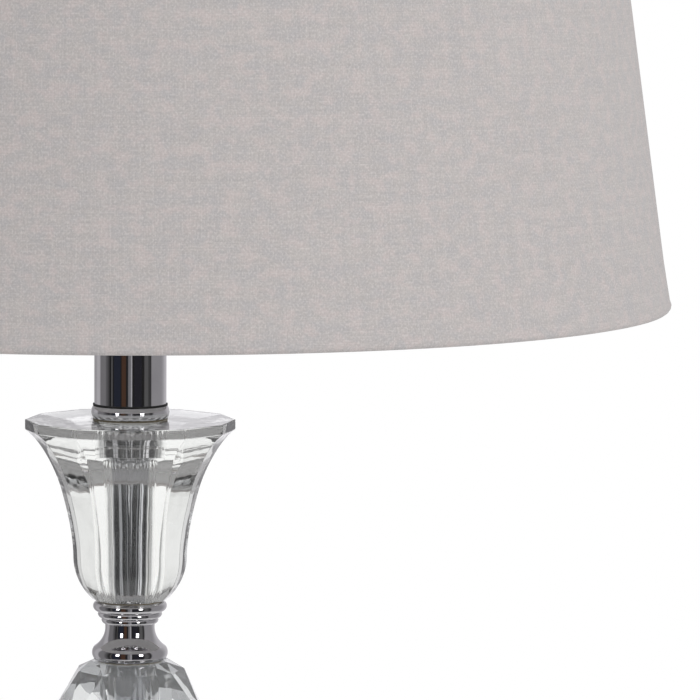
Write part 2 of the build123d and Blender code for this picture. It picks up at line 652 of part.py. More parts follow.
def make_harp_stud():
    """Rivet head, shank, flange and the threaded stud that takes the shade and the finial."""
    low = HARP_TOP_Z - HARP_WIRE_RADIUS - RUNNING_FIT
    stud = disc(STUD_RIVET_RADIUS, STUD_RIVET_THICKNESS, low - STUD_RIVET_THICKNESS)
    stud += disc(STUD_SHANK_RADIUS, STUD_Z - low, low)
    stud += disc(STUD_FLANGE_RADIUS, STUD_FLANGE_THICKNESS, STUD_Z)
    return stud + disc(STUD_THREAD_RADIUS, STUD_THREAD_LENGTH, HUB_Z)


# ---- lampholder
def make_holder_cap():
    """The lower shell: a threaded hub that widens into a cup."""
    z = HOLDER_Z
    hub_z = z + HOLDER_HUB_HEIGHT
    rim_z = z + HOLDER_CAP_HEIGHT
    turn_z = hub_z + holder_flare()
    wall = HOLDER_WALL
    outer = HOLDER_RADIUS + wall
    inner = HOLDER_RADIUS
    return turned(
        Line((HOLE, z), (HOLDER_HUB_RADIUS, z)),
        Line((HOLDER_HUB_RADIUS, z), (HOLDER_HUB_RADIUS, hub_z)),
        ThreePointArc(
            (HOLDER_HUB_RADIUS, hub_z),
            ((HOLDER_HUB_RADIUS + outer) / 2 + wall, (hub_z + turn_z) / 2 - wall),
            (outer, turn_z),
        ),
        Line((outer, turn_z), (outer, rim_z)),
        Line((outer, rim_z), (inner, rim_z)),
        Line((inner, rim_z), (inner, turn_z)),
        ThreePointArc(
            (inner, turn_z),
            ((HOLDER_HUB_RADIUS + outer) / 2, (hub_z + turn_z) / 2),
            (HOLDER_HUB_RADIUS, hub_z + wall),
        ),
        Line((HOLDER_HUB_RADIUS, hub_z + wall), (HOLE, hub_z + wall)),
        Line((HOLE, hub_z + wall), (HOLE, z)),
    )


def holder_flare():
    """The height over which the cap widens from its hub to its rim."""
    return (HOLDER_CAP_HEIGHT - HOLDER_HUB_HEIGHT) / 2


def switch_hole(reach):
    """The passage for the switch's shaft, from the holder's axis to its front."""
    hole = Cylinder(SWITCH_SHAFT_RADIUS + RUNNING_FIT, reach, rotation=(90, 0, 0))
    return Pos(0, -reach / 2, SWITCH_Z) * hole


def make_holder_shell():
    shell = ring(HOLDER_RADIUS, HOLDER_RADIUS - HOLDER_WALL, HOLDER_SHELL_HEIGHT, HOLDER_SHELL_Z)
    return shell - switch_hole(2 * HOLDER_RADIUS)


def make_holder_liner():
    """The insulating paper tube inside the shell."""
    outer = HOLDER_RADIUS - HOLDER_WALL - LINER_GAP
    liner = ring(outer, outer - LINER_WALL, HOLDER_SHELL_HEIGHT, HOLDER_SHELL_Z)
    return liner - switch_hole(2 * HOLDER_RADIUS)


def make_holder_core():
    """The moulded insulator with the switch's bore and a flat for each terminal."""
    core = turned_polygon(
        (0, CORE_Z),
        (HOLDER_HUB_RADIUS - HOLDER_WALL, CORE_Z),
        (HOLDER_CORE_RADIUS, CORE_Z + holder_flare()),
        (HOLDER_CORE_RADIUS, CORE_TOP_Z),
        (0, CORE_TOP_Z),
    )
    flat = Box(HOLDER_CORE_RADIUS, 2 * HOLDER_CORE_RADIUS, 3 * TERMINAL_HEAD_RADIUS)
    for side in (-1, 1):
        core -= Pos(side * (TERMINAL_FLAT_X + HOLDER_CORE_RADIUS / 2), 0, terminal_z()) * flat
    return core - switch_hole(SWITCH_SHAFT_DEPTH + HOLDER_CORE_RADIUS)


def terminal_z():
    return CORE_Z + holder_flare() + 3 * TERMINAL_HEAD_RADIUS / 2


def make_terminal_screws():
    """Two slotted screws, one on each flat of the core."""
    head = Cylinder(TERMINAL_HEAD_RADIUS, TERMINAL_HEAD_HEIGHT, rotation=(0, 90, 0))
    slot = Box(TERMINAL_HEAD_HEIGHT, 2 * TERMINAL_HEAD_RADIUS, TERMINAL_HEAD_RADIUS / 4)
    screws = []
    for side in (-1, 1):
        x = side * (TERMINAL_FLAT_X + TERMINAL_HEAD_HEIGHT / 2)
        slot_x = x + side * TERMINAL_HEAD_HEIGHT * 2 / 3
        screws.append(Pos(x, 0, terminal_z()) * head - Pos(slot_x, 0, terminal_z()) * slot)
    return Compound(children=screws)


def make_screw_shell():
    outer = SCREW_SHELL_BORE + SCREW_SHELL_WALL
    shell = ring(outer, SCREW_SHELL_BORE, HOLDER_TOP_Z - CORE_TOP_Z - 2 * SCREW_SHELL_WALL, CORE_TOP_Z)
    return shell + ring(outer, 3 * CONTACT_RADIUS, SCREW_SHELL_WALL, CORE_TOP_Z)


def make_centre_contact():
    return turned_polygon(
        (0, CORE_TOP_Z),
        (CONTACT_RADIUS, CORE_TOP_Z),
        (CONTACT_RADIUS * 2 / 3, CORE_TOP_Z + CONTACT_HEIGHT),
        (0, CORE_TOP_Z + CONTACT_HEIGHT),
    )


def make_switch_shaft():
    shaft = Cylinder(SWITCH_SHAFT_RADIUS, SWITCH_SHAFT_REACH + SWITCH_SHAFT_DEPTH, rotation=(90, 0, 0))
    back = SWITCH_SHAFT_DEPTH - HOLDER_CORE_RADIUS
    middle = back - (SWITCH_SHAFT_REACH + SWITCH_SHAFT_DEPTH) / 2
    return Pos(0, middle, SWITCH_Z) * shaft


def make_switch_knob():
    """A fluted knob, glued on the end of the shaft."""
    tip = -HOLDER_CORE_RADIUS - SWITCH_SHAFT_REACH
    knob = turned_polygon(
        (0, 0),
        (KNOB_RADIUS - KNOB_EDGE, 0),
        (KNOB_RADIUS, KNOB_EDGE),
        (KNOB_RADIUS - KNOB_EDGE, KNOB_LENGTH - KNOB_EDGE),
        (KNOB_RADIUS - 2 * KNOB_EDGE, KNOB_LENGTH),
        (0, KNOB_LENGTH),
    )
    flute = Pos(KNOB_RADIUS, 0, KNOB_LENGTH / 2) * Cylinder(KNOB_FLUTE_RADIUS, KNOB_LENGTH)
    knob -= [Rot(0, 0, 360 / KNOB_FLUTES * index) * flute for index in range(KNOB_FLUTES)]
    knob -= disc(SWITCH_SHAFT_RADIUS, KNOB_LENGTH / 2)
    return Pos(0, tip + KNOB_LENGTH / 2, SWITCH_Z) * (Rot(90, 0, 0) * knob)


# ---- bulb
def make_bulb_tip():
    """The solder button and the dark glass cone around it."""
    return turned_polygon(
        (0, BULB_Z),
        (BULB_TIP_RADIUS * 2 / 3, BULB_Z),
        (BULB_TIP_RADIUS, BULB_Z + BULB_TIP_HEIGHT / 2),
        (BULB_TIP_RADIUS, BULB_Z + BULB_TIP_HEIGHT),
        (0, BULB_Z + BULB_TIP_HEIGHT),
    )


def cap_z():
    return BULB_Z + BULB_TIP_HEIGHT


def make_bulb_cap():
    """The screw cap: a cone up from the tip, then the round threaded wall."""
    wall_z = cap_z() + BULB_INSULATOR_HEIGHT
    return turned_polygon(
        (0, cap_z()),
        (BULB_TIP_RADIUS, cap_z()),
        (BULB_CAP_RADIUS, wall_z),
        (BULB_CAP_RADIUS, cap_z() + BULB_CAP_HEIGHT),
        (0, cap_z() + BULB_CAP_HEIGHT),
    )


def bulb_outline(inset):
    """Neck, cone and globe of the envelope, drawn inset millimetres inside its outer face."""
    z = cap_z() + BULB_CAP_HEIGHT + inset
    top = BULB_Z + BULB_LENGTH - inset
    globe = BULB_GLOBE_RADIUS - inset
    neck = BULB_NECK_RADIUS - inset
    centre = BULB_Z + BULB_LENGTH - BULB_GLOBE_RADIUS
    lean = math.radians(BULB_SHOULDER_ANGLE)
    waist = (globe * math.cos(lean), centre - globe * math.sin(lean))
    return [
        Line((0, z), (neck, z)),
        Line((neck, z), waist),
        ThreePointArc(waist, (globe, centre), (0, top)),
        Line((0, top), (0, z)),
    ]


def make_bulb_glass():
    return turned(*bulb_outline(0)) - turned(*bulb_outline(BULB_WALL))


def make_bulb_stem():
    """The glass stem with its ring of filament rods, standing on the envelope's floor."""
    z = cap_z() + BULB_CAP_HEIGHT + BULB_WALL
    stem = disc(BULB_STEM_RADIUS, BULB_STEM_LENGTH, z)
    plate_z = z + BULB_STEM_LENGTH
    plate = disc(FILAMENT_CIRCLE + 2 * FILAMENT_RADIUS, FILAMENT_RADIUS, plate_z)
    rod = Pos(FILAMENT_CIRCLE, 0, plate_z + FILAMENT_RADIUS + FILAMENT_LENGTH / 2) * Cylinder(
        FILAMENT_RADIUS, FILAMENT_LENGTH
    )
    rods = [Rot(0, 0, 360 / FILAMENT_COUNT * index) * rod for index in range(FILAMENT_COUNT)]
    return stem + plate + rods


# ---- shade
def shade_radius(z):
    """The fabric's outer radius at height z."""
    return SHADE_RADIUS - SHADE_TAPER * (z - SHADE_Z)


def shade_skin(inset, thickness, low, high):
    """A conical skin between two heights, inset from the fabric's outer face."""
    outer_low = shade_radius(low) - inset
    outer_high = shade_radius(high) - inset
    return turned_polygon(
        (outer_low - thickness, low),
        (outer_low, low),
        (outer_high, high),
        (outer_high - thickness, high),
    )


def hem(outer_z, inward):
    """Fabric turned round a ring wire and glued inside; inward is +1 at the foot, -1 at the top."""
    fold = FABRIC_THICKNESS + 2 * RING_WIRE_RADIUS + FABRIC_THICKNESS
    plate_z = outer_z + inward * FABRIC_THICKNESS
    lip_z = outer_z + inward * HEM_HEIGHT
    low, high = sorted((outer_z, plate_z))
    plate = shade_skin(0, fold, low, high)
    low, high = sorted((outer_z, lip_z))
    return plate + shade_skin(fold - FABRIC_THICKNESS, FABRIC_THICKNESS, low, high)


def make_shade_fabric():
    """The linen cone, turned round both ring wires and slit at the top where the arms pass."""
    fold = FABRIC_THICKNESS + 2 * RING_WIRE_RADIUS
    slit_depth = HEM_HEIGHT - FABRIC_THICKNESS
    slit = Box(2 * FABRIC_THICKNESS + RING_WIRE_RADIUS, 2 * SPIDER_ARM_RADIUS + FABRIC_THICKNESS, slit_depth)
    slit_r = shade_radius(SHADE_TOP_Z) - fold
    slit = Pos(slit_r, 0, SHADE_TOP_Z - FABRIC_THICKNESS - slit_depth / 2) * slit
    top_hem = hem(SHADE_TOP_Z, -1)
    top_hem -= [Rot(0, 0, spider_angle(index)) * slit for index in range(SPIDER_ARMS)]
    return shade_skin(0, FABRIC_THICKNESS, SHADE_Z, SHADE_TOP_Z) + hem(SHADE_Z, 1) + top_hem


def make_shade_liner():
    """The stiff translucent sheet that the fabric is glued to, between the two hems."""
    return shade_skin(FABRIC_THICKNESS, LINER_THICKNESS, SHADE_Z + HEM_HEIGHT, SHADE_TOP_Z - HEM_HEIGHT)


def wire_ring(z):
    """A round ring wire that lies in the fold of the fabric at height z."""
    centre = shade_radius(z) - FABRIC_THICKNESS - RING_WIRE_RADIUS
    return turned_polygon(
        *[
            (
                centre + RING_WIRE_RADIUS * math.cos(math.tau * corner / RING_WIRE_SIDES),
                z + RING_WIRE_RADIUS * math.sin(math.tau * corner / RING_WIRE_SIDES),
            )
            for corner in range(RING_WIRE_SIDES)
        ]
    )


def make_shade_bottom_ring():
    return wire_ring(SHADE_Z + FABRIC_THICKNESS + RING_WIRE_RADIUS)


def make_shade_spider():
    """Top ring wire with three arms that drop to the hub on the harp's stud, welded as one."""
    ring_z = SHADE_TOP_Z - FABRIC_THICKNESS - RING_WIRE_RADIUS
    hub_z = HUB_Z + SPIDER_HUB_THICKNESS / 2
    hub_bore = STUD_THREAD_RADIUS + SPIDER_HUB_CLEARANCE
    spider = wire_ring(ring_z) + ring(SPIDER_HUB_RADIUS, hub_bore, SPIDER_HUB_THICKNESS, HUB_Z)
    reach = shade_radius(ring_z) - FABRIC_THICKNESS - RING_WIRE_RADIUS
    lip = FABRIC_THICKNESS + RING_WIRE_RADIUS
    knee = (reach - lip - 2 * SPIDER_ARM_RADIUS, 0, ring_z - HEM_HEIGHT - SPIDER_ARM_RADIUS)
    start = (SPIDER_ARM_START, 0, hub_z)
    for index in range(SPIDER_ARMS):
        arm = strut(start, knee) + strut(knee, (reach, 0, ring_z))
        spider += Rot(0, 0, spider_angle(index)) * arm
    return spider


def spider_angle(index):
    """The direction of one arm, the first pointing to the back."""
    return 90 + 360 / SPIDER_ARMS * index


def strut(start, end):
    """A round bar from one point to another."""
    path = Line(start, end)
    return sweep(Plane(origin=start, z_dir=path % 0) * Circle(SPIDER_ARM_RADIUS), path=path)


# ---- finial
def make_finial_base():
    """A turned knob with a blind thread below and a cup for the crystal above."""
    waist_z = FINIAL_FOOT_HEIGHT + FINIAL_WAIST_HEIGHT
    top_z = waist_z + FINIAL_CUP_HEIGHT
    foot_in = FINIAL_FOOT_RADIUS - FINIAL_FOOT_HEIGHT / 4
    bore = STUD_THREAD_RADIUS + SPIDER_HUB_CLEARANCE / 2
    bore_top = STUD_THREAD_LENGTH - SPIDER_HUB_THICKNESS + SPIDER_HUB_CLEARANCE
    waist_mid = (FINIAL_WAIST_RADIUS, FINIAL_FOOT_HEIGHT + FINIAL_WAIST_HEIGHT / 2)
    knob = turned(
        Line((bore, 0), (foot_in, 0)),
        bead(FINIAL_FOOT_RADIUS, foot_in, 0, FINIAL_FOOT_HEIGHT),
        ThreePointArc((foot_in, FINIAL_FOOT_HEIGHT), waist_mid, (FINIAL_CUP_RADIUS, waist_z)),
        Line((FINIAL_CUP_RADIUS, waist_z), (FINIAL_CUP_RADIUS, top_z)),
        Line((FINIAL_CUP_RADIUS, top_z), (0, top_z)),
        Line((0, top_z), (0, bore_top)),
        Line((0, bore_top), (bore, bore_top)),
        Line((bore, bore_top), (bore, 0)),
    )
    return Pos(0, 0, FINIAL_Z) * knob


def make_finial_crystal():
    z = FINIAL_Z + FINIAL_FOOT_HEIGHT + FINIAL_WAIST_HEIGHT + FINIAL_CUP_HEIGHT
    crown = (FINIAL_CROWN_RADIUS, FINIAL_CROWN_DEPTH)
    belt = (FINIAL_BELT_RADIUS, FINIAL_BELT_DEPTH)
    ball = faceted_ball(FINIAL_BALL_SIDES, FINIAL_BALL_HEIGHT, FINIAL_FLAT_RADIUS, crown, belt)
    return Pos(0, 0, z) * ball


PARTS = {
    "felt_pad": make_felt_pad(),
    "base_cover": make_base_cover(),
    "base_weight": make_base_weight(),
    "rod_washer": make_rod_washer(),
    "lock_washer": make_lock_washer(),
    "base_nut": make_base_nut(),
    "cord_bushing": make_cord_bushing(),
    "threaded_rod": make_threaded_rod(),
    "reel_base": make_reel(LOWER_REEL_Z),
    "crystal_ball_lower": make_ball(LOWER_BALL_Z),
    "reel_lower": make_reel(COLUMN_REEL_Z),
    "crystal_column": make_column(),
    "reel_upper": make_reel(UPPER_REEL_Z),
    "crystal_ball_upper": make_ball(UPPER_BALL_Z),
    "reel_top": make_reel(CUP_REEL_Z),
    "crystal_cup": make_cup(),
    "sleeve_ball_lower": make_sleeve(LOWER_BALL_Z, BALL_HEIGHT + 2 * WASHER_THICKNESS),
    "sleeve_column": make_sleeve(COLUMN_Z, COLUMN_HEIGHT + 2 * WASHER_THICKNESS),
    "sleeve_ball_upper": make_sleeve(UPPER_BALL_Z, BALL_HEIGHT + 2 * WASHER_THICKNESS),
    "sleeve_cup": make_sleeve(CUP_Z, WASHER_THICKNESS + CUP_HEIGHT - CUP_SEAT_DEPTH),
    "crystal_washers": make_crystal_washers(),
    "neck_collar": make_collar(),
    "neck_gasket": make_neck_gasket(),
    "neck_tube": make_neck_tube(),
    "neck_cap": make_neck_cap(),
    "harp_saddle": make_harp_saddle(),
    "saddle_nut": make_saddle_nut(),
    "harp_wire": make_harp_wire(),
    "harp_sleeve_left": make_harp_sleeve(-1),
    "harp_sleeve_right": make_harp_sleeve(1),
    "harp_stud": make_harp_stud(),
    "holder_cap": make_holder_cap(),
    "holder_shell": make_holder_shell(),
    "holder_liner": make_holder_liner(),
    "holder_core": make_holder_core(),
    "terminal_screws": make_terminal_screws(),
    "screw_shell": make_screw_shell(),
    "centre_contact": make_centre_contact(),
    "switch_shaft": make_switch_shaft(),
    "switch_knob": make_switch_knob(),
    "bulb_tip": make_bulb_tip(),
    "bulb_cap": make_bulb_cap(),
    "bulb_glass": make_bulb_glass(),
    "bulb_stem": make_bulb_stem(),
    "shade_fabric": make_shade_fabric(),
    "shade_liner": make_shade_liner(),
    "shade_bottom_ring": make_shade_bottom_ring(),
    "shade_spider": make_shade_spider(),
    "finial_base": make_finial_base(),
    "finial_crystal": make_finial_crystal(),
}

os.makedirs("parts", exist_ok=True)
for name, part in PARTS.items():
    export_step(part, os.path.join("parts", name + ".step"))
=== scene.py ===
import json
import math

import bmesh
import bpy
from mathutils import Matrix, Vector


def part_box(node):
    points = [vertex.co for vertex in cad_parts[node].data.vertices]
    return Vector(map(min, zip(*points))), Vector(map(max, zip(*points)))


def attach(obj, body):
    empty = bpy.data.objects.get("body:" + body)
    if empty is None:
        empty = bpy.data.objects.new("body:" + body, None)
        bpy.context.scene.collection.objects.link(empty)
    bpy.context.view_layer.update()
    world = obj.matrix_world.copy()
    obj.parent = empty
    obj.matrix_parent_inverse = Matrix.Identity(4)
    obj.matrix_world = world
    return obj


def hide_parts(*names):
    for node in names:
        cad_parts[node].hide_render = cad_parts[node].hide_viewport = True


# Candlestick table lamp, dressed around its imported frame. Metres, +Z up, front towards -Y.
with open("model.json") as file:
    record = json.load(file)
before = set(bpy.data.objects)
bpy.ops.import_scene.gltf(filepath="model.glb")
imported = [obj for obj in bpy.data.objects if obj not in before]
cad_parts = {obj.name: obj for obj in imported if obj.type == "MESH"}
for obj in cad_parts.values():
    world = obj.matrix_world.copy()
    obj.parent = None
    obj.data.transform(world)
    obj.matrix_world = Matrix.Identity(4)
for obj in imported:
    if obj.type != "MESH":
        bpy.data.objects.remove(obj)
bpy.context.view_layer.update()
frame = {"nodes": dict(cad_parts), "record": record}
nodes = frame["nodes"]
MM = 0.001

# ---- camera, fitted to the shade's rim and slope and to the stem
IMAGE_PX = 700.0
SENSOR_MM = 36.0
FOCAL_PX = 4154.0
CAMERA_DISTANCE = 1.3716
CAMERA_ABOVE_RIM = 0.1162
CAMERA_YAW = math.radians(3.039)
CAMERA_PITCH = math.radians(5.463)
CAMERA_ROLL = math.radians(0.389)

# ---- light and floor
MATT_LEFT = (0.76, 0.76, 0.77)
MATT_RIGHT = (0.97, 0.97, 0.975)
WINDOW_ELEVATION = 17.0
WINDOW_DISTANCE = 1.6
WINDOW_HEIGHT = 0.55
FLOOR_RADIUS = 0.64
FLOOR_FADE_START = 0.30
FLOOR_FADE_END = FLOOR_RADIUS * 0.97
# Seen through glass the floor takes this darker grey: painted shade, so that the crystals show a dim floor.
FLOOR_PAINTED_SHADE_THROUGH_GLASS = (0.48, 0.485, 0.49)

# ---- sizes that the frame gives
SHADE_LOW, SHADE_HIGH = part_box("shade_fabric")
SHADE_Z = SHADE_LOW.z
SHADE_TOP_Z = SHADE_HIGH.z
SHADE_RADIUS = SHADE_HIGH.x
CUP_LOW, CUP_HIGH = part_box("crystal_cup")
STEM_EYE_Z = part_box("reel_top")[0].z


# ---------------------------------------------------------------- camera, light and floor
def make_camera():
    """The photograph's own view: a long lens from in front of the lamp, a little above the rim."""
    forward = Vector(
        (
            math.sin(CAMERA_YAW) * math.cos(CAMERA_PITCH),
            math.cos(CAMERA_YAW) * math.cos(CAMERA_PITCH),
            -math.sin(CAMERA_PITCH),
        )
    )
    level = Vector((math.cos(CAMERA_YAW), -math.sin(CAMERA_YAW), 0))
    upright = level.cross(forward)
    right = math.cos(CAMERA_ROLL) * level + math.sin(CAMERA_ROLL) * upright
    up = math.cos(CAMERA_ROLL) * upright - math.sin(CAMERA_ROLL) * level
    data = bpy.data.cameras.new("photo_camera")
    data.sensor_width = SENSOR_MM
    data.lens = FOCAL_PX * SENSOR_MM / IMAGE_PX
    data.clip_start = 0.02
    data.clip_end = 50.0
    camera = bpy.data.objects.new("photo_camera", data)
    bpy.context.scene.collection.objects.link(camera)
    camera.matrix_world = Matrix(
        (
            (right.x, up.x, -forward.x, 0.0),
            (right.y, up.y, -forward.y, -CAMERA_DISTANCE),
            (right.z, up.z, -forward.z, SHADE_Z + CAMERA_ABOVE_RIM),
            (0.0, 0.0, 0.0, 1.0),
        )
    )
    bpy.context.scene.camera = camera


class Graph:
    """A node tree that is written one expression at a time."""

    def __init__(self, tree):
        self.tree = tree

    def node(self, kind, **settings):
        made = self.tree.nodes.new(kind)
        for key, value in settings.items():
            setattr(made, key, value)
        return made

    def set(self, socket, value):
        if isinstance(value, bpy.types.NodeSocket):
            self.tree.links.new(value, socket)
        elif value is not None:
            socket.default_value = value

    def math(self, operation, first, second=None, third=None):
        made = self.node("ShaderNodeMath", operation=operation)
        for socket, value in zip(made.inputs, (first, second, third)):
            self.set(socket, value)
        return made.outputs[0]

    def spread(self, value, low, high, to_low=0.0, to_high=1.0, smooth=True):
        """Maps low..high to to_low..to_high, clamped and eased."""
        made = self.node("ShaderNodeMapRange")
        made.interpolation_type = "SMOOTHSTEP" if smooth else "LINEAR"
        for socket, item in zip(made.inputs, (value, low, high, to_low, to_high)):
            self.set(socket, item)
        return made.outputs[0]

    def mix(self, share, first, second, blend="MIX"):
        made = self.node("ShaderNodeMix", data_type="RGBA", blend_type=blend)
        self.set(made.inputs["Factor"], share)
        self.set(made.inputs["A"], colour(first))
        self.set(made.inputs["B"], colour(second))
        return made.outputs["Result"]

    def vector(self, x, y, z=0.0):
        made = self.node("ShaderNodeCombineXYZ")
        for socket, value in zip(made.inputs, (x, y, z)):
            self.set(socket, value)
        return made.outputs[0]

    def split(self, vector):
        made = self.node("ShaderNodeSeparateXYZ")
        self.set(made.inputs[0], vector)
        return made.outputs

    def noise(self, vector, scale=1.0, detail=2.0, roughness=0.5):
        made = self.node("ShaderNodeTexNoise")
        self.set(made.inputs["Vector"], vector)
        self.set(made.inputs["Scale"], scale)
        self.set(made.inputs["Detail"], detail)
        self.set(made.inputs["Roughness"], roughness)
        return made.outputs["Fac"]


def colour(value):
    return (*value, 1.0) if isinstance(value, tuple) and len(value) == 3 else value


# The studio as chrome sees it, by azimuth in degrees from the camera's side towards +X. Each step
# rises between two azimuths on one side (1 towards +X, -1 towards -X); each stripe has a middle,
# a half width and a colour that is added. All were set by trial, and stand still in the
# world.
CHROME_TINT = (1.0, 0.985, 1.02)
CHROME_FRONT = 0.020
CHROME_BACK = 0.12
CHROME_BACK_STRIP = 0.40
CHROME_CEILING = 0.16
CHROME_STEEP_SHARE = 0.4
CHROME_STEPS = [
    (1, 66.0, 74.0, 0.32),
    (1, 112.0, 150.0, 0.26),
    (-1, 66.0, 80.0, 0.10),
    (-1, 80.0, 88.0, 0.10),
    (-1, 108.0, 116.0, 0.32),
    (-1, 128.0, 142.0, -0.14),
]
CHROME_STRIPES = [
    (-0.5, 6.5, (0.20, 0.20, 0.21)),
    (3.6, 1.6, (0.30, 0.30, 0.31)),
    (-21.0, 7.0, (0.060, 0.024, 0.008)),
    (-43.0, 11.0, (0.003, 0.007, 0.020)),
    (-61.0, 2.5, (0.09, 0.09, 0.09)),
    (-100.0, 5.0, (-0.12, -0.12, -0.12)),
    (24.0, 12.0, (0.004, 0.004, 0.010)),
    (52.0, 7.0, (0.10, 0.10, 0.10)),
    (62.0, 2.5, (0.05, 0.05, 0.05)),
]
CRYSTAL_TINT = (1.0, 1.0, 0.99)
CRYSTAL_FRONT = 0.05
CRYSTAL_STRIPES = [
    (-138.0, 12.0, (-0.26, -0.26, -0.24)),
    (-100.0, 5.0, (0.35, 0.35, 0.35)),
    (-34.0, 7.0, (0.45, 0.45, 0.46)),
    (12.0, 5.0, (0.25, 0.25, 0.26)),
    (46.0, 10.0, (0.95, 0.95, 0.96)),
]


STRIPE_CORE = 0.75
STRIPE_REACH = 1.25


def add_stripes(g, studio, azimuth, stripes):
    """Adds soft-edged upright stripes to a studio."""
    for middle, half, tone in stripes:
        off = g.math("ABSOLUTE", g.math("SUBTRACT", azimuth, middle))
        share = g.spread(off, half * STRIPE_CORE, half * STRIPE_REACH, 1.0, 0.0)
        studio = g.mix(share, studio, tone, "ADD")
    return studio


def chrome_studio(g, azimuth, elevation):
    """Dark in front of the lamp, pale at its sides, with the edges of flags and windows as stripes."""
    aside = g.math("ABSOLUTE", azimuth)
    level = g.spread(aside, 158.0, 176.0, CHROME_FRONT, CHROME_BACK)
    for side, low, high, rise in CHROME_STEPS:
        step = g.spread(g.math("MULTIPLY", azimuth, float(side)), low, high, 0.0, rise)
        level = g.math("ADD", level, step)
    steep = g.math("ABSOLUTE", elevation)
    level = g.math("MULTIPLY", level, g.spread(steep, 35.0, 70.0, 1.0, CHROME_STEEP_SHARE))
    level = g.math("ADD", level, g.spread(elevation, 25.0, 60.0, 0.0, CHROME_CEILING))
    level = g.math("ADD", level, g.spread(aside, 166.0, 173.0, 0.0, CHROME_BACK_STRIP))
    grey = g.mix(1.0, CHROME_TINT, level, "MULTIPLY")
    return add_stripes(g, grey, azimuth, CHROME_STRIPES)


def crystal_studio(g, azimuth):
    """What is seen through the crystals: dark in front with pale stripes, and white behind."""
    level = g.spread(g.math("ABSOLUTE", azimuth), 78.0, 158.0, CRYSTAL_FRONT, 1.0)
    grey = g.mix(1.0, CRYSTAL_TINT, level, "MULTIPLY")
    return add_stripes(g, grey, azimuth, CRYSTAL_STRIPES)


def make_world():
    """White behind the lamp for the camera, an even dome for matt surfaces, and a studio of their
    own for chrome and for crystal."""
    world = bpy.data.worlds.new("studio")
    world.use_nodes = True
    bpy.context.scene.world = world
    world.node_tree.nodes.clear()
    g = Graph(world.node_tree)
    ray = g.node("ShaderNodeLightPath").outputs
    x, y, z = g.split(g.node("ShaderNodeTexCoord").outputs["Generated"])
    azimuth = g.math("DEGREES", g.math("ARCTAN2", x, g.math("MULTIPLY", y, -1.0)))
    elevation = g.math("DEGREES", g.math("ARCSINE", z))
    dome = g.mix(g.spread(x, -1.0, 1.0, smooth=False), MATT_LEFT, MATT_RIGHT)
    light = g.mix(ray["Is Glossy Ray"], dome, chrome_studio(g, azimuth, elevation))
    light = g.mix(ray["Is Transmission Ray"], light, crystal_studio(g, azimuth))
    light = g.mix(ray["Is Camera Ray"], light, (1.0, 1.0, 1.0))
    background = g.node("ShaderNodeBackground")
    g.set(background.inputs["Color"], light)
    out = g.node("ShaderNodeOutputWorld")
    g.set(out.inputs["Surface"], background.outputs[0])


def make_window(name, azimuth, width, power):
    """A softbox that faces the stem; azimuth runs in degrees from the camera's side towards +X."""
    data = bpy.data.lights.new(name, "AREA")
    data.shape = "RECTANGLE"
    data.size = width
    data.size_y = WINDOW_HEIGHT
    data.energy = power
    lamp = bpy.data.objects.new(name, data)
    bpy.context.scene.collection.objects.link(lamp)
    turn, lift = math.radians(azimuth), math.radians(WINDOW_ELEVATION)
    towards = Vector((math.sin(turn) * math.cos(lift), -math.cos(turn) * math.cos(lift), math.sin(lift)))
    lamp.location = Vector((0, 0, STEM_EYE_Z)) + towards * WINDOW_DISTANCE
    lamp.rotation_euler = towards.to_track_quat("Z", "Y").to_euler()
    lamp.visible_camera = False
    lamp.visible_transmission = False
    return lamp


def make_floor():
    """A pale round floor that keeps the lamp's shadow and fades out towards its edge; seen through glass it
    is painted darker, a painted shade.
    """
    mesh = bmesh.new()
    bmesh.ops.create_circle(mesh, cap_ends=True, segments=96, radius=FLOOR_RADIUS)
    floor = link_mesh("floor", mesh)
    material = bpy.data.materials.new("floor_paper")
    material.use_nodes = True
    g = Graph(material.node_tree)
    shader = material.node_tree.nodes["Principled BSDF"]
    shader.inputs["Roughness"].default_value = 0.9
    place = g.node("ShaderNodeTexCoord").outputs["Object"]
    grain = g.noise(place, 60.0, 3.0)
    through_glass = g.node("ShaderNodeLightPath").outputs["Is Transmission Ray"]
    paper = g.mix(grain, (0.80, 0.80, 0.80), (0.84, 0.84, 0.835))
    # Painted shade: rays that come through glass see the floor in a darker grey than its own.
    g.set(shader.inputs["Base Color"], g.mix(through_glass, paper, FLOOR_PAINTED_SHADE_THROUGH_GLASS))
    length = g.node("ShaderNodeVectorMath", operation="LENGTH")
    g.set(length.inputs[0], place)
    fade = g.spread(length.outputs["Value"], FLOOR_FADE_START, FLOOR_FADE_END, 1.0, 0.0)
    g.set(shader.inputs["Alpha"], fade)
    floor.data.materials.append(material)


def link_mesh(name, mesh, smooth_angle=None):
    """Turns a bmesh into an object; edges bent more than smooth_angle degrees stay sharp."""
    bmesh.ops.recalc_face_normals(mesh, faces=mesh.faces)
    if smooth_angle is not None:
        for face in mesh.faces:
            face.smooth = True
        for edge in mesh.edges:
            if len(edge.link_faces) == 2:
                edge.smooth = edge.calc_face_angle() < math.radians(smooth_angle)
    data = bpy.data.meshes.new(name)
    mesh.to_mesh(data)
    mesh.free()
    piece = bpy.data.objects.new(name, data)
    bpy.context.scene.collection.objects.link(piece)
    return piece


# ---------------------------------------------------------------- materials
LINEN_RADIUS = 0.165
WARP_PITCH = 0.00044
WEFT_PITCH = 0.00048
WARP_WANDER = WARP_PITCH * 1.8
WEFT_WANDER = WEFT_PITCH * 2.2
CRIMP = 0.3
CRYSTAL_IOR = 1.52
BULB_IOR = 1.5


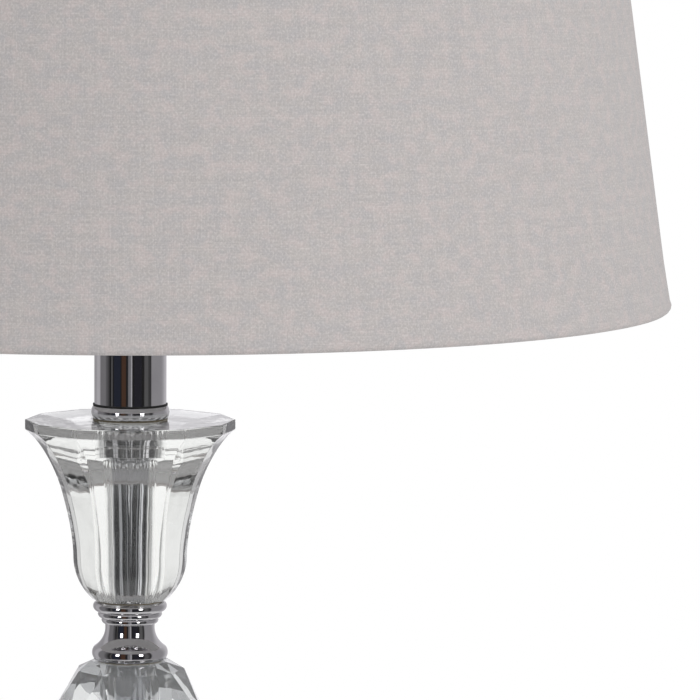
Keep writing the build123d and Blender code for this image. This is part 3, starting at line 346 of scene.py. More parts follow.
class Finish(Graph):
    """One procedural material around a Principled shader, in the lamp's own coordinates."""

    def __init__(self, name, roughness=0.5, metallic=0.0, **inputs):
        self.material = bpy.data.materials.new(name)
        self.material.use_nodes = True
        super().__init__(self.material.node_tree)
        self.shader = self.tree.nodes["Principled BSDF"]
        self.place = self.node("ShaderNodeTexCoord").outputs["Object"]
        self.shader.inputs["Roughness"].default_value = roughness
        self.shader.inputs["Metallic"].default_value = metallic
        for key, value in inputs.items():
            self.shader.inputs[key.replace("_", " ")].default_value = value

    def paint(self, **inputs):
        for key, value in inputs.items():
            self.set(self.shader.inputs[key.replace("_", " ")], colour(value))

    def bump(self, height, depth, strength=1.0):
        made = self.node("ShaderNodeBump")
        made.inputs["Strength"].default_value = strength
        made.inputs["Distance"].default_value = depth
        self.set(made.inputs["Height"], height)
        self.set(self.shader.inputs["Normal"], made.outputs[0])

    def stretched(self, x, y, z):
        made = self.node("ShaderNodeVectorMath", operation="MULTIPLY")
        self.set(made.inputs[0], self.place)
        made.inputs[1].default_value = (x, y, z)
        return made.outputs[0]

    def around(self, radius):
        """Distance round the lamp's axis from its front, at one radius, and the height."""
        x, y, z = self.split(self.place)
        turn = self.math("ARCTAN2", x, self.math("MULTIPLY", y, -1.0))
        return self.math("MULTIPLY", turn, radius), z

    def mottle(self, sheet, round_scale, up_scale, seed=0.0, detail=3.0, roughness=0.5):
        """Noise on a sheet laid flat, given as its way round and its way up."""
        round_it, up = sheet
        across = self.math("MULTIPLY", round_it, round_scale)
        along = self.math("MULTIPLY", up, up_scale)
        return self.noise(self.vector(across, along, seed), 1.0, detail, roughness)


def polished_metal(name, base, dull, roughness, wear=0.035):
    """Plated metal: near mirror, with cloudy polish, hair scratches and a faint waviness."""
    m = Finish(name, metallic=1.0)
    clouds = m.noise(m.place, 70.0, 4.0, 0.6)
    hairs = m.noise(m.stretched(1.0, 1.0, 9.0), 900.0, 3.0, 0.7)
    m.paint(Base_Color=m.mix(m.spread(clouds, 0.35, 0.75), base, dull))
    worn = m.math("MULTIPLY", m.spread(hairs, 0.45, 0.8), wear)
    m.paint(Roughness=m.math("ADD", m.spread(clouds, 0.3, 0.8, roughness, roughness * 2.2), worn))
    m.bump(m.noise(m.place, 160.0, 2.0), 0.00002, 0.4)
    return m.material


def cut_crystal(name, clear, pale, deep):
    """Polished lead glass. Clear is the share of light that passes; the rest is scattered, which
    lifts the facets that would otherwise come out black."""
    m = Finish(name, roughness=0.0, Transmission_Weight=clear, IOR=CRYSTAL_IOR)
    haze = m.noise(m.place, 45.0, 3.0, 0.6)
    m.paint(Base_Color=m.mix(haze, pale, deep))
    m.bump(m.noise(m.stretched(1.0, 1.0, 0.6), 170.0, 1.0), 0.00025, 0.6)
    return m.material


def plain_weave(m, sheet, yarn, thread):
    """How high the yarns stand, and where the warp lies on top of the weft."""
    across = m.math("ADD", sheet[0], m.math("MULTIPLY", yarn, WARP_WANDER))
    along = m.math("ADD", sheet[1], m.math("MULTIPLY", thread, WEFT_WANDER))
    sine_a = m.math("SINE", m.math("MULTIPLY", across, math.pi / WARP_PITCH))
    sine_b = m.math("SINE", m.math("MULTIPLY", along, math.pi / WEFT_PITCH))
    over = m.math("MULTIPLY", sine_a, sine_b)
    flat = 1.0 - CRIMP
    warp = m.math("MULTIPLY", m.math("ABSOLUTE", sine_a), m.math("MULTIPLY_ADD", over, CRIMP, flat))
    weft = m.math("MULTIPLY", m.math("ABSOLUTE", sine_b), m.math("MULTIPLY_ADD", over, -CRIMP, flat))
    return m.math("MAXIMUM", warp, weft), m.math("GREATER_THAN", warp, weft)


def neps(m, sheet):
    """The share of the rare dark knots in the yarn."""
    fleck = m.node("ShaderNodeTexVoronoi", feature="F1")
    spot = m.vector(m.math("MULTIPLY", sheet[0], 60.0), m.math("MULTIPLY", sheet[1], 75.0))
    m.set(fleck.inputs["Vector"], spot)
    fleck.inputs["Scale"].default_value = 1.0
    rare = m.math("GREATER_THAN", m.split(fleck.outputs["Color"])[0], 0.95)
    return m.math("MULTIPLY", rare, m.spread(fleck.outputs["Distance"], 0.02, 0.06, 0.45, 0.0))


def linen():
    """Fine plain woven linen and cotton in warm grey, softly mottled by thick and thin yarns."""
    m = Finish("linen", roughness=0.95, Sheen_Weight=0.10, Sheen_Roughness=0.5)
    sheet = m.around(LINEN_RADIUS)
    yarn = m.mottle(sheet, 900.0, 30.0)
    thread = m.mottle(sheet, 26.0, 800.0)
    weave, warp_on_top = plain_weave(m, sheet, yarn, thread)
    warp_colour = m.mix(m.spread(yarn, 0.3, 0.7), (0.431, 0.400, 0.390), (0.504, 0.469, 0.453))
    weft_colour = m.mix(m.spread(thread, 0.3, 0.7), (0.417, 0.391, 0.383), (0.494, 0.460, 0.444))
    cloth = m.mix(warp_on_top, weft_colour, warp_colour)
    clouds = m.mottle(sheet, 150.0, 190.0, 0.0, 4.0, 0.65)
    cloth = m.mix(m.spread(clouds, 0.38, 0.66, 0.0, 0.62), cloth, (0.412, 0.400, 0.411))
    blush = m.mottle(sheet, 200.0, 230.0, 7.0)
    cloth = m.mix(m.spread(blush, 0.46, 0.66, 0.0, 0.62), cloth, (0.543, 0.471, 0.457))
    slub = m.mottle(sheet, 85.0, 620.0, 3.0, 2.0)
    cloth = m.mix(m.spread(slub, 0.60, 0.76, 0.0, 0.30), cloth, (0.339, 0.335, 0.345))
    grain = m.mottle(sheet, 1500.0, 1500.0, 5.0, 1.0)
    cloth = m.mix(m.spread(grain, 0.30, 0.70, 0.34, 0.0), cloth, (0.320, 0.305, 0.297))
    pale = m.mottle(sheet, 1700.0, 1300.0, 9.0, 1.0)
    cloth = m.mix(m.spread(pale, 0.45, 0.72, 0.0, 0.40), cloth, (0.620, 0.589, 0.571))
    cloth = m.mix(neps(m, sheet), cloth, (0.22, 0.22, 0.23))
    # Painted shade between the yarns and a faint painted highlight on their tops: the cloth's colour follows
    # how high the weave stands.
    shade = m.math("MULTIPLY_ADD", weave, 0.16, 0.90)
    m.paint(Base_Color=m.mix(1.0, cloth, shade, "MULTIPLY"))
    m.bump(m.math("MULTIPLY_ADD", slub, 0.5, weave), 0.00008, 0.5)
    return m.material


def moulded(name, base, other, roughness, grain=900.0):
    """Moulded plastic, paint or rubber: a fine grain in colour, gloss and surface."""
    m = Finish(name)
    speck = m.noise(m.place, grain, 3.0)
    broad = m.noise(m.place, 40.0, 3.0)
    m.paint(Base_Color=m.mix(broad, base, other))
    m.paint(Roughness=m.spread(broad, 0.3, 0.75, roughness * 0.85, roughness * 1.2))
    m.bump(speck, 0.00004, 0.35)
    return m.material


def felt():
    """Pressed wool felt: short fibres lying every way, painted a little paler where they stand up, a painted
    sheen.
    """
    m = Finish("felt", roughness=1.0, Sheen_Weight=0.4, Sheen_Roughness=0.6)
    fibres = m.noise(m.place, 1400.0, 5.0, 0.75)
    tufts = m.noise(m.place, 260.0, 4.0, 0.7)
    hue = m.mix(m.spread(fibres, 0.35, 0.7), (0.018, 0.018, 0.02), (0.075, 0.075, 0.08))
    # Painted sheen: the tufts that stand up in the bump are painted paler.
    m.paint(Base_Color=m.mix(m.spread(tufts, 0.5, 0.8, 0.0, 0.5), hue, (0.11, 0.11, 0.11)))
    m.bump(m.math("ADD", fibres, tufts), 0.0006, 0.8)
    return m.material


def cast_metal():
    """Sand cast iron with a thin coat of black paint."""
    m = Finish("cast_weight", metallic=0.4)
    sand = m.noise(m.place, 700.0, 5.0, 0.7)
    m.paint(Base_Color=m.mix(sand, (0.05, 0.05, 0.05), (0.13, 0.125, 0.12)))
    m.paint(Roughness=m.spread(sand, 0.3, 0.8, 0.6, 0.85))
    m.bump(sand, 0.0003, 0.9)
    return m.material


def clear_glass(name, tint, other, roughness=0.0):
    """Thin blown or pressed glass, its tint faintly uneven."""
    m = Finish(name, roughness=roughness, Transmission_Weight=1.0, IOR=BULB_IOR)
    m.paint(Base_Color=m.mix(m.noise(m.place, 60.0, 2.0), tint, other))
    return m.material


MATERIALS = {
    "chrome": lambda: polished_metal("chrome", (0.655, 0.645, 0.66), (0.60, 0.59, 0.605), 0.03),
    "chrome_sleeve": lambda: polished_metal(
        "chrome_sleeve", (0.70, 0.70, 0.72), (0.60, 0.60, 0.63), 0.015, 0.015
    ),
    "crystal": lambda: cut_crystal("crystal", 0.985, (0.985, 0.992, 0.985), (0.97, 0.978, 0.97)),
    "ball_crystal": lambda: cut_crystal("ball_crystal", 0.90, (0.965, 0.978, 0.985), (0.945, 0.960, 0.968)),
    "nickel": lambda: polished_metal("nickel", (0.66, 0.63, 0.59), (0.57, 0.54, 0.50), 0.14),
    "zinc_steel": lambda: polished_metal("zinc_steel", (0.58, 0.58, 0.55), (0.45, 0.46, 0.46), 0.28),
    "white_wire": lambda: moulded("white_wire", (0.80, 0.79, 0.76), (0.74, 0.73, 0.70), 0.4),
    "felt": felt,
    "cast_weight": cast_metal,
    "black_plastic": lambda: moulded("black_plastic", (0.02, 0.02, 0.02), (0.035, 0.035, 0.035), 0.4),
    "black_rubber": lambda: moulded("black_rubber", (0.012, 0.012, 0.012), (0.02, 0.02, 0.02), 0.7),
    # Tan plastic washers, painted a darker brown than their own tan as painted shade where they sit under the
    # beads and reels.
    "washer_plastic": lambda: moulded("washer_plastic", (0.17, 0.14, 0.085), (0.13, 0.105, 0.06), 0.5),
    "liner_paper": lambda: moulded("liner_paper", (0.50, 0.40, 0.28), (0.42, 0.33, 0.23), 0.75, 500.0),
    "brass": lambda: polished_metal("brass", (0.78, 0.57, 0.25), (0.66, 0.46, 0.20), 0.16),
    "bare_aluminium": lambda: polished_metal("bare_aluminium", (0.78, 0.78, 0.77), (0.66, 0.66, 0.66), 0.26),
    "black_glass": lambda: moulded("black_glass", (0.02, 0.02, 0.025), (0.03, 0.03, 0.035), 0.12),
    "bulb_cap_metal": lambda: polished_metal("bulb_cap_metal", (0.76, 0.75, 0.72), (0.62, 0.61, 0.59), 0.24),
    "bulb_glass": lambda: clear_glass("bulb_glass", (0.99, 0.99, 0.985), (0.975, 0.98, 0.975)),
    "bulb_stem": lambda: clear_glass("bulb_stem", (0.95, 0.96, 0.95), (0.92, 0.94, 0.93), 0.05),
    "filament": lambda: moulded("filament", (0.78, 0.60, 0.16), (0.70, 0.52, 0.12), 0.5),
    "linen": linen,
    # The liner's mid grey is painted shade: a real liner is white, and this grey darkens the lampshade's
    # inside.
    "shade_liner": lambda: moulded("shade_liner", (0.60, 0.595, 0.59), (0.56, 0.555, 0.55), 0.5, 1500.0),
}
finishes = {name: make() for name, make in MATERIALS.items()}


def dress(piece, finish):
    """Gives a new piece one finish."""
    piece.data.materials.clear()
    piece.data.materials.append(finishes[finish])
    return piece


def dress_nodes():
    """Every carried-over node takes the finish of its own slot."""
    for entry in frame["record"]["subparts"]:
        data = nodes[entry["node"]].data
        data.materials.clear()
        data.materials.append(finishes[entry["material_slot"]])


# ---------------------------------------------------------------- mesh helpers
def ring_of(mesh, radius, z, count, turn=0.0):
    """A closed ring of corners at one height."""
    angles = [turn + math.tau * index / count for index in range(count)]
    return [mesh.verts.new((radius * math.cos(a), radius * math.sin(a), z)) for a in angles]


def skin(mesh, low, high):
    """Quads between two rings with the same number of corners."""
    count = len(low)
    for index in range(count):
        after = (index + 1) % count
        mesh.faces.new((low[index], low[after], high[after], high[index]))


def annulus(mesh, outer, inner):
    """Flat faces from a polygon to a finer circle inside it."""
    share = len(inner) // len(outer)
    for index, corner in enumerate(outer):
        after = outer[(index + 1) % len(outer)]
        start = index * share
        middle = start + share // 2
        for step in range(start, start + share):
            near = corner if step < middle else after
            mesh.faces.new((near, inner[step], inner[(step + 1) % len(inner)]))
        mesh.faces.new((corner, inner[middle], after))


TURNED_EDGE = 35.0
POLISH_SEGMENTS = 2


def lathe(name, profile, slot, body, count):
    """A turned piece from a closed outline of (radius, z) that stays off the axis."""
    mesh = bmesh.new()
    rings = [ring_of(mesh, radius, z, count) for radius, z in profile]
    for low, high in zip(rings, rings[1:] + rings[:1]):
        skin(mesh, low, high)
    piece = dress(link_mesh(name, mesh, TURNED_EDGE), slot)
    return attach(piece, body)


def soften(piece, width, angle=14.0):
    """Breaks every sharp edge by a hair, as polishing does."""
    bevel = piece.modifiers.new("polished_edges", "BEVEL")
    bevel.limit_method = "ANGLE"
    bevel.angle_limit = math.radians(angle)
    bevel.width = width
    bevel.segments = POLISH_SEGMENTS
    bevel.harden_normals = True


def run(points, first, last, steps):
    """A smooth line through (radius, z) points with given slopes at its two ends."""
    slopes = [first]
    for before, after in zip(points, points[2:]):
        slopes.append((after[0] - before[0], after[1] - before[1]))
    slopes.append(last)
    line = []
    for index in range(len(points) - 1):
        start, end = Vector(points[index]), Vector(points[index + 1])
        reach = (end - start).length / 3
        out = start + Vector(slopes[index]).normalized() * reach
        back = end - Vector(slopes[index + 1]).normalized() * reach
        for step in range(steps):
            t = step / steps
            a, b, c = start.lerp(out, t), out.lerp(back, t), back.lerp(end, t)
            line.append(tuple(a.lerp(b, t).lerp(b.lerp(c, t), t)))
    return line + [tuple(points[-1])]


# ---------------------------------------------------------------- cut crystal
SEAT_GAP = 0.03 * MM
BORE_RADIUS = 6.6 * MM
POLISH = 0.10 * MM
EDGE_POLISH = 0.28 * MM
PANEL_EDGE = 10.0
FACET_EDGE = 6.0
PANELS = 12
FACETS = 9
BORE_CORNERS_PER_SIDE = 8


def bored_crystal(name, node, flank, seat_radius=0.0, seat_depth=0.0):
    """A crystal ground to flat-sided panels, with a bore for the rod's sleeve and, where asked, a
    seat for the collar. The flank runs upwards as (radius over corners, z)."""
    mesh = bmesh.new()
    fine = PANELS * BORE_CORNERS_PER_SIDE
    rings = [ring_of(mesh, radius, z, PANELS) for radius, z in flank]
    for low, high in zip(rings, rings[1:]):
        skin(mesh, low, high)
    foot_z, top_z = flank[0][1], flank[-1][1]
    bore_foot = ring_of(mesh, BORE_RADIUS, foot_z, fine)
    annulus(mesh, rings[0], bore_foot)
    bore_top = ring_of(mesh, BORE_RADIUS, top_z - seat_depth, fine)
    skin(mesh, bore_foot, bore_top)
    if seat_depth:
        seat_low = ring_of(mesh, seat_radius, top_z - seat_depth, fine)
        seat_high = ring_of(mesh, seat_radius, top_z, fine)
        skin(mesh, bore_top, seat_low)
        skin(mesh, seat_low, seat_high)
        annulus(mesh, rings[-1], seat_high)
    else:
        annulus(mesh, rings[-1], bore_top)
    crystal = dress(link_mesh(name, mesh, PANEL_EDGE), "crystal")
    soften(crystal, EDGE_POLISH)
    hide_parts(node)
    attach(crystal, "lamp_base")


def make_cup():
    """The bell cup: rounded foot, waist, hollow flare and an upright rim."""
    foot_z, top_z = CUP_LOW.z + SEAT_GAP, CUP_HIGH.z - SEAT_GAP
    foot, waist, waist_height = 12.4 * MM, 18.9 * MM, 14.5 * MM
    shoulder, shoulder_depth = 22.6 * MM, 21.1 * MM
    flare, flare_depth = 28.0 * MM, 8.3 * MM
    rim, band = 34.9 * MM, 3.3 * MM
    collar_seat, collar_depth = 9.3 * MM, 7.0 * MM
    upright, outwards = (0.02, 1.0), (1.0, 0.75)
    swell = waist - foot
    bend = (waist_height**2 + swell**2) / (2 * swell)
    steps = 14
    flank = []
    for step in range(steps):
        height = waist_height * step / steps
        inwards = bend - math.sqrt(bend**2 - (waist_height - height) ** 2)
        flank.append((waist - inwards, foot_z + height))
    band_z = top_z - band
    points = [
        (waist, foot_z + waist_height),
        (shoulder, band_z - shoulder_depth),
        (flare, band_z - flare_depth),
        (rim, band_z),
    ]
    flank += run(points, upright, outwards, 16)
    flank.append((rim, top_z))
    bored_crystal("cup_glass", "crystal_cup", flank, collar_seat, collar_depth)


def make_column():
    """The long crystal: bevelled ends, widest near its foot, with a slim waist near its head."""
    low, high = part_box("crystal_column")
    foot_z, top_z = low.z + SEAT_GAP, high.z - SEAT_GAP
    foot, end = 14.0 * MM, 13.5 * MM
    belly, belly_height = 21.5 * MM, 14.0 * MM
    waist, crown, head = 14.2 * MM, 19.0 * MM, 11.0 * MM
    inwards, outwards = (-0.05, 1.0), (0.9, 1.0)
    points = [(belly, foot_z + belly_height), (waist, top_z - 2 * head), (crown, top_z - head)]
    flank = [(foot, foot_z), *run(points, inwards, outwards, 24), (end, top_z)]
    bored_crystal("column_glass", "crystal_column", flank)


def cut_outline(low_z, high_z, flat_radius, crown, belt):
    """A cut ball's rings from foot to top: flat end, crown and belt, and the same mirrored. Crown
    and belt are given as (radius over corners, depth from their own end)."""
    end = [(flat_radius, 0.0), crown, belt]
    lower = [(radius, low_z + depth) for radius, depth in end]
    return lower + [(radius, high_z - depth) for radius, depth in reversed(end)]


def facet_skin(mesh, outline):
    """Triangular facets between rings that each sit half a facet round from the last; returns the
    lowest and the highest ring."""
    rings = []
    for row, (radius, z) in enumerate(outline):
        rings.append(ring_of(mesh, radius, z, FACETS, row % 2 * math.pi / FACETS))
    for row, (low, high) in enumerate(zip(rings, rings[1:])):
        lag = row % 2
        for side in range(FACETS):
            after = (side + 1) % FACETS
            mesh.faces.new((low[side], low[after], high[(side + lag) % FACETS]))
            mesh.faces.new((high[side], high[after], low[(side + 1 - lag) % FACETS]))
    return rings[0], rings[-1]


def make_ball(name, node):
    """A cut ball with triangular facets, bored for the rod's sleeve."""
    low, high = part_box(node)
    foot_z, top_z = low.z + SEAT_GAP, high.z - SEAT_GAP
    flat, crown, belt = 13.0 * MM, (18.1 * MM, 2.8 * MM), (27.6 * MM, 20.5 * MM)
    fine = FACETS * BORE_CORNERS_PER_SIDE
    mesh = bmesh.new()
    foot, top = facet_skin(mesh, cut_outline(foot_z, top_z, flat, crown, belt))
    bore_foot = ring_of(mesh, BORE_RADIUS, foot_z, fine)
    bore_top = ring_of(mesh, BORE_RADIUS, top_z, fine)
    skin(mesh, bore_foot, bore_top)
    annulus(mesh, foot, bore_foot)
    half = BORE_CORNERS_PER_SIDE // 2
    annulus(mesh, top, bore_top[half:] + bore_top[:half])
    ball = dress(link_mesh(name, mesh, FACET_EDGE), "ball_crystal")
    soften(ball, POLISH, 8.0)
    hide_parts(node)
    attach(ball, "lamp_base")


def make_finial_crystal():
    """The finial's small cut ball, closed by a flat facet at both ends."""
    low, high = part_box("finial_crystal")
    flat, crown, belt = 6.2 * MM, (8.2 * MM, 1.3 * MM), (12.0 * MM, 8.3 * MM)
    mesh = bmesh.new()
    for ring in facet_skin(mesh, cut_outline(low.z + SEAT_GAP, high.z, flat, crown, belt)):
        mesh.faces.new(ring)
    crystal = dress(link_mesh("finial_glass", mesh, FACET_EDGE), "ball_crystal")
    soften(crystal, POLISH, 8.0)
    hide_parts("finial_crystal")
    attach(crystal, "finial")


# ---------------------------------------------------------------- shade
CLOTH = 0.5 * MM
WIRE = 1.5 * MM
HEM = 9.0 * MM
LINER = 0.6 * MM
TAPER = 0.1396
SEAM = 12.0 * MM
HEM_BULGE = 0.45 * MM
ARM_ANGLES = [math.radians(90 + 120 * index) for index in range(3)]


def cone_radius(z):
    """The cloth's outer face, with a slight swell over the lower ring."""
    near = max(0.0, 1.0 - (z - SHADE_Z) / (18 * MM))
    return SHADE_RADIUS - TAPER * (z - SHADE_Z) + HEM_BULGE * near * near * (3 - 2 * near)


def hem_turn(z, upwards):
    """Round one ring wire and along the lip glued inside: points from the outer wall to the cut edge."""
    way = 1 if upwards else -1
    bend = WIRE + CLOTH / 2
    centre_r = cone_radius(z) - CLOTH / 2 - bend
    centre_z = z + way * (bend + CLOTH / 2)
    points = []
    for step in range(9):
        angle = math.pi * step / 8
        points.append((centre_r + bend * math.cos(angle), centre_z - way * bend * math.sin(angle)))
    for step in range(1, 7):
        share = step / 6
        height = z + way * (bend + CLOTH / 2 + (HEM - bend) * share)
        glued = cone_radius(height) - CLOTH - LINER - CLOTH / 2
        free = centre_r - bend
        ease = min(1.0, share * 2.2)
        points.append((free + (glued - free) * ease * ease * (3 - 2 * ease), height))
    return points


def cloth_profile():
    """The cloth's middle line from the lower lip, round both wires, to the upper lip."""
    lower = hem_turn(SHADE_Z, True)[::-1]
    upper = hem_turn(SHADE_TOP_Z, False)
    clear_of_wire = 3.5 * MM
    first, last = SHADE_Z + clear_of_wire, SHADE_TOP_Z - clear_of_wire
    rise = [first + (last - first) * step / 36 for step in range(37)]
    return lower + [(cone_radius(z) - CLOTH / 2, z) for z in rise] + upper


def liner_profile():
    """The liner's middle line, just short of the wires at both ends."""
    margin = 4.2 * MM
    low, high = SHADE_Z + margin, SHADE_TOP_Z - margin
    heights = [low + (high - low) * step / 24 for step in range(25)]
    return [(cone_radius(z) - CLOTH - LINER / 2, z) for z in heights]


def wrapped(name, profile, thick, seam, ragged=None):
    """A sheet bent round the axis from a seam at the back, its end lapped over its start."""
    count = 480
    turns = math.tau + seam / SHADE_RADIUS
    mesh = bmesh.new()
    outer, inner = [], []
    for index in range(count + 1):
        turn = math.pi / 2 + turns * index / count
        left = (count - index) / count * turns * SHADE_RADIUS
        lap = max(0.0, min(1.0, (seam * 1.4 - left) / (seam * 0.4))) * (thick + 0.04 * MM)
        outside, inside = [], []
        for step, (radius, z) in enumerate(profile):
            before = profile[max(step - 1, 0)]
            after = profile[min(step + 1, len(profile) - 1)]
            along = Vector((after[0] - before[0], after[1] - before[1])).normalized()
            normal = Vector((along.y, -along.x))
            middle = Vector(ragged(step, turn, radius, z) if ragged else (radius, z))
            for side, points in ((0.5, outside), (-0.5, inside)):
                spot = middle + normal * (thick * side + lap)
                points.append(mesh.verts.new((spot.x * math.cos(turn), spot.x * math.sin(turn), spot.y)))
        outer.append(outside)
        inner.append(inside)
    last = len(profile) - 1
    for index in range(count):
        for step in range(last):
            for grid in (outer, inner):
                a, b = grid[index], grid[index + 1]
                mesh.faces.new((a[step], b[step], b[step + 1], a[step + 1]))
        for step in (0, last):
            near, far = index, index + 1
            mesh.faces.new((outer[near][step], outer[far][step], inner[far][step], inner[near][step]))
    for index in (0, count):
        for step in range(last):
            mesh.faces.new(
                (outer[index][step], outer[index][step + 1], inner[index][step + 1], inner[index][step])
            )
    return link_mesh(name, mesh, 40.0)


def make_shade_cloth():
    """The linen: hemmed round both ring wires, its cut edges a little uneven, slit at each arm."""
    profile = cloth_profile()
    lip = 6
    top = len(profile) - lip - 1

    def ragged(step, turn, radius, z):
        wave = math.sin(turn * 23.0) + 0.6 * math.sin(turn * 57.0 + 1.0) + 0.4 * math.sin(turn * 131.0)
        if step < lip:
            return radius, z + (lip - step) / lip * 0.25 * MM * wave
        if step > top:
            share = (step - top) / lip
            aside = min(abs(math.remainder(turn - angle, math.tau)) for angle in ARM_ANGLES)
            slit = 1.0 if aside * radius < 2.4 * MM else 0.0
            end_r, end_z = profile[top]
            wavy = z + share * 0.25 * MM * wave
            return radius + (end_r - radius) * slit, wavy + (end_z - wavy) * slit
        return radius, z

    cloth = dress(wrapped("shade_linen", profile, CLOTH, SEAM, ragged), "linen")
    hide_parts("shade_fabric")
    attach(cloth, "shade")


def make_shade_lining():
    """The stiff white sheet that the linen is glued to, lapped at the back; its grey finish is painted shade.
    """
    lining = dress(wrapped("shade_lining", liner_profile(), LINER, 9 * MM), "shade_liner")
    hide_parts("shade_liner")
    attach(lining, "shade")


def wire_piece(name, points, radius, slot, body, cyclic=False, order=3):
    """A round wire along a smooth spline with these control points."""
    data = bpy.data.curves.new(name, "CURVE")
    data.dimensions = "3D"
    data.bevel_depth = radius
    data.bevel_resolution = 5
    data.resolution_u = 12
    data.use_fill_caps = not cyclic
    spline = data.splines.new("NURBS")
    spline.points.add(len(points) - 1)
    for spot, point in zip(spline.points, points):
        spot.co = (*point, 1.0)
    spline.use_cyclic_u = cyclic
    spline.use_endpoint_u = not cyclic
    spline.order_u = order
    piece = bpy.data.objects.new(name, data)
    bpy.context.scene.collection.objects.link(piece)
    dress(piece, slot)
    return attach(piece, body)


def circle(radius, z, count):
    """Points round the axis, the first one towards +X."""
    turns = [math.tau * index / count for index in range(count)]
    return [(radius * math.cos(turn), radius * math.sin(turn), z) for turn in turns]


def wire_ring(name, radius, z):
    """One of the shade's two wire rings."""
    return wire_piece(name, circle(radius, z, 96), WIRE, "white_wire", "shade", True, 4)


def make_shade_wires():
    """Both ring wires and the three arms with their bends, welded to the pressed hub."""
    low_z = SHADE_Z + WIRE + CLOTH
    top_z = SHADE_TOP_Z - WIRE - CLOTH
    low = wire_ring("shade_lower_wire", cone_radius(low_z) - CLOTH - WIRE - 0.1 * MM, low_z)
    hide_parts("shade_bottom_ring")
    reach = cone_radius(top_z) - CLOTH - WIRE - 0.1 * MM
    top = wire_ring("shade_upper_wire", reach, top_z)
    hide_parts("shade_spider")
    hub = make_shade_hub()
    knee_r, knee_z = reach - 5.0 * MM, top_z - HEM - 2 * WIRE
    for index, angle in enumerate(ARM_ANGLES):
        side = Vector((math.cos(angle), math.sin(angle), 0.0))
        path = [
            (8.0 * MM, hub),
            (16.0 * MM, hub),
            (knee_r - 20.0 * MM, knee_z - (knee_z - hub) * 0.16),
            (knee_r, knee_z),
            (reach - 2.6 * MM, top_z - 5.5 * MM),
            (reach - 0.2 * MM, top_z),
        ]
        points = [tuple(side * r + Vector((0, 0, z))) for r, z in path]
        wire_piece(f"shade_arm_{index}", points, WIRE, "white_wire", "shade")


def make_shade_hub():
    """The pressed washer that sits on the harp's stud under the finial; returns its mid height."""
    foot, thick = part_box("finial_base")[0].z - 2.0 * MM, 2.0 * MM
    head = foot + thick
    edge, bore = 11.0 * MM, 3.4 * MM
    profile = [
        (bore, foot + 0.15 * MM),
        (bore + 0.2 * MM, foot),
        (edge - 0.6 * MM, foot),
        (edge, foot + 0.5 * MM),
        (edge, head - 0.5 * MM),
        (edge - 0.6 * MM, head),
        (bore + 0.2 * MM, head),
        (bore, head - 0.15 * MM),
    ]
    lathe("shade_hub", profile, "white_wire", "shade", 72)
    return (foot + head) / 2


# ---------------------------------------------------------------- lampholder and bulb
SCREW_PITCH = 3.63 * MM
SCREW_RUN_OUT = SCREW_PITCH * 0.6
SCREW_CORNERS = 72
SCREW_ROWS_PER_TURN = 12


def threaded(name, slot, body, outline, depth, wall):
    """A rolled screw thread between two heights, as thin sheet that has the thread on both faces."""
    low, high, radius = outline
    rows = int((high - low) / SCREW_PITCH * SCREW_ROWS_PER_TURN)
    mesh = bmesh.new()
    outside, inside = [], []
    for row in range(rows + 1):
        z = low + (high - low) * row / rows
        fade = min(1.0, (z - low) / SCREW_RUN_OUT, (high - z) / SCREW_RUN_OUT)
        ring_a, ring_b = [], []
        for index in range(SCREW_CORNERS):
            turn = math.tau * index / SCREW_CORNERS
            phase = math.cos(math.tau * (z - low) / SCREW_PITCH - turn)
            groove = depth * (0.5 - 0.5 * phase) * fade
            for ring, away in ((ring_a, 0.0), (ring_b, wall)):
                r = radius - groove - away
                ring.append(mesh.verts.new((r * math.cos(turn), r * math.sin(turn), z)))
        outside.append(ring_a)
        inside.append(ring_b)
    for rings in (outside, inside):
        for a, b in zip(rings, rings[1:]):
            skin(mesh, a, b)
    skin(mesh, outside[0], inside[0])
    skin(mesh, outside[-1], inside[-1])
    piece = dress(link_mesh(name, mesh, 50.0), slot)
    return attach(piece, body)


def make_bulb_cap():
    """The rolled screw cap, drawn in to the dark glass ring round the contact."""
    low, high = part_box("bulb_cap")
    radius, tip = high.x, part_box("bulb_tip")[1].x
    start, collar_z = low.z + 2.4 * MM, high.z - 3 * MM
    outline = (start, collar_z, radius)
    cap = threaded("bulb_screw_cap", "bulb_cap_metal", "bulb", outline, 0.9 * MM, 0.4 * MM)
    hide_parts("bulb_cap")
    foot = [
        (tip, low.z),
        (radius - 0.4 * MM, start),
        (radius, start + 0.1 * MM),
        (radius - 0.5 * MM, start + 0.3 * MM),
        (tip, low.z + 0.5 * MM),
    ]
    lathe("bulb_cap_foot", foot, "bulb_cap_metal", "bulb", 72)
    collar = [
        (radius - 0.5 * MM, collar_z),
        (radius, collar_z),
        (radius, high.z - 0.6 * MM),
        (radius - 0.3 * MM, high.z),
        (radius - 0.6 * MM, high.z),
    ]
    lathe("bulb_cap_collar", collar, "bulb_cap_metal", "bulb", 72)


def make_bulb_mount():
    """The pressed glass mount inside the bulb, with its filaments."""
    low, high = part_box("bulb_stem")
    base, plate = low.z + 0.2 * MM, low.z + 34 * MM
    profile = [
        (0.5 * MM, base),
        (9.0 * MM, base),
        (8.6 * MM, base + 1.2 * MM),
        (5.0 * MM, base + 5.0 * MM),
        (3.2 * MM, base + 12.0 * MM),
        (2.6 * MM, base + 20.0 * MM),
        (2.4 * MM, plate - 2.0 * MM),
        (3.4 * MM, plate),
        (2.4 * MM, plate + 2.2 * MM),
        (0.5 * MM, plate + 3.0 * MM),
    ]
    mount = lathe("bulb_mount", profile, "bulb_stem", "bulb", 48)
    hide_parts("bulb_stem")
    make_filaments(plate, high.z - 2 * MM)


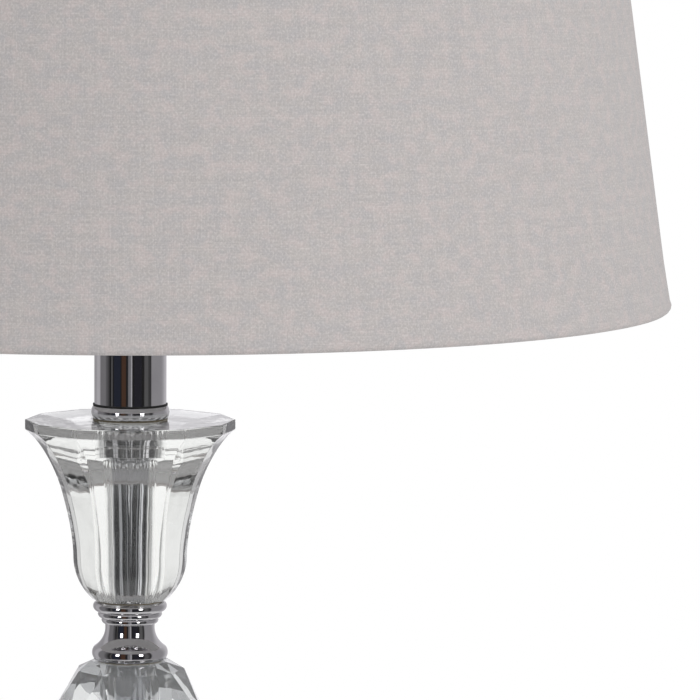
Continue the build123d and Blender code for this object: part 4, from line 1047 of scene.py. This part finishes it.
def make_filaments(plate, head):
    """Four coated rods that lean in towards the top, each hung between two thin wires."""
    foot, spread, rods = plate - 6 * MM, 7.5 * MM, 4
    crown = spread * 0.62
    for index in range(rods):
        turn = math.tau * (index + 0.5) / rods
        side = Vector((math.cos(turn), math.sin(turn), 0.0))
        lean = [side * spread + Vector((0, 0, foot)), side * crown + Vector((0, 0, head))]
        points = [tuple(lean[0].lerp(lean[1], step / 6)) for step in range(7)]
        wire_piece(f"filament_{index}", points, 0.9 * MM, "filament", "bulb")
        hook = [(0, 0, plate + 1 * MM), tuple(side * 4 * MM + Vector((0, 0, plate - 3 * MM))), tuple(lean[0])]
        wire_piece(f"filament_wire_{index}", hook, 0.25 * MM, "nickel", "bulb")
    wire_piece("filament_ring", circle(crown, head, 8), 0.25 * MM, "nickel", "bulb", True, 4)


def make_holder_screw_shell():
    """The lampholder's threaded sheet shell."""
    low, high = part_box("screw_shell")
    outline = (low.z + 0.2 * MM, high.z, high.x - 0.1 * MM)
    shell = threaded("holder_screw_shell", "bare_aluminium", "lamp_base", outline, 0.5 * MM, 0.35 * MM)
    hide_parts("screw_shell")


def make_felt():
    """The felt disc under the base, its cut rim slightly uneven."""
    low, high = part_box("felt_pad")
    mesh = bmesh.new()
    radius, thick, ragged = high.x, high.z - low.z, 0.12 * MM
    rows = [(radius - 0.5 * MM, 0.0), (radius, 0.25), (radius, 0.75), (radius - 0.4 * MM, 1.0)]
    count = 240
    rings = []
    for reach, share in rows:
        ring = []
        for index in range(count):
            turn = math.tau * index / count
            rough = ragged * (math.sin(41 * turn) + math.sin(97 * turn + share * 5))
            r = min(reach + rough, radius)
            ring.append(mesh.verts.new((r * math.cos(turn), r * math.sin(turn), low.z + thick * share)))
        rings.append(ring)
    for a, b in zip(rings, rings[1:]):
        skin(mesh, a, b)
    mesh.faces.new(rings[0])
    mesh.faces.new(rings[-1])
    pad = dress(link_mesh("base_felt", mesh, 50.0), "felt")
    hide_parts("felt_pad")
    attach(pad, "lamp_base")


make_camera()
make_world()
make_window("window_left", azimuth=-39.0, width=0.26, power=4.0).visible_diffuse = False
make_window("window_right", azimuth=35.0, width=0.30, power=5.0)
make_floor()
dress_nodes()
make_cup()
make_column()
make_ball("ball_glass_lower", "crystal_ball_lower")
make_ball("ball_glass_upper", "crystal_ball_upper")
make_finial_crystal()
make_shade_cloth()
make_shade_lining()
make_shade_wires()
make_bulb_cap()
make_bulb_mount()
make_holder_screw_shell()
make_felt()

bpy.context.scene.view_settings.view_transform = "Standard"
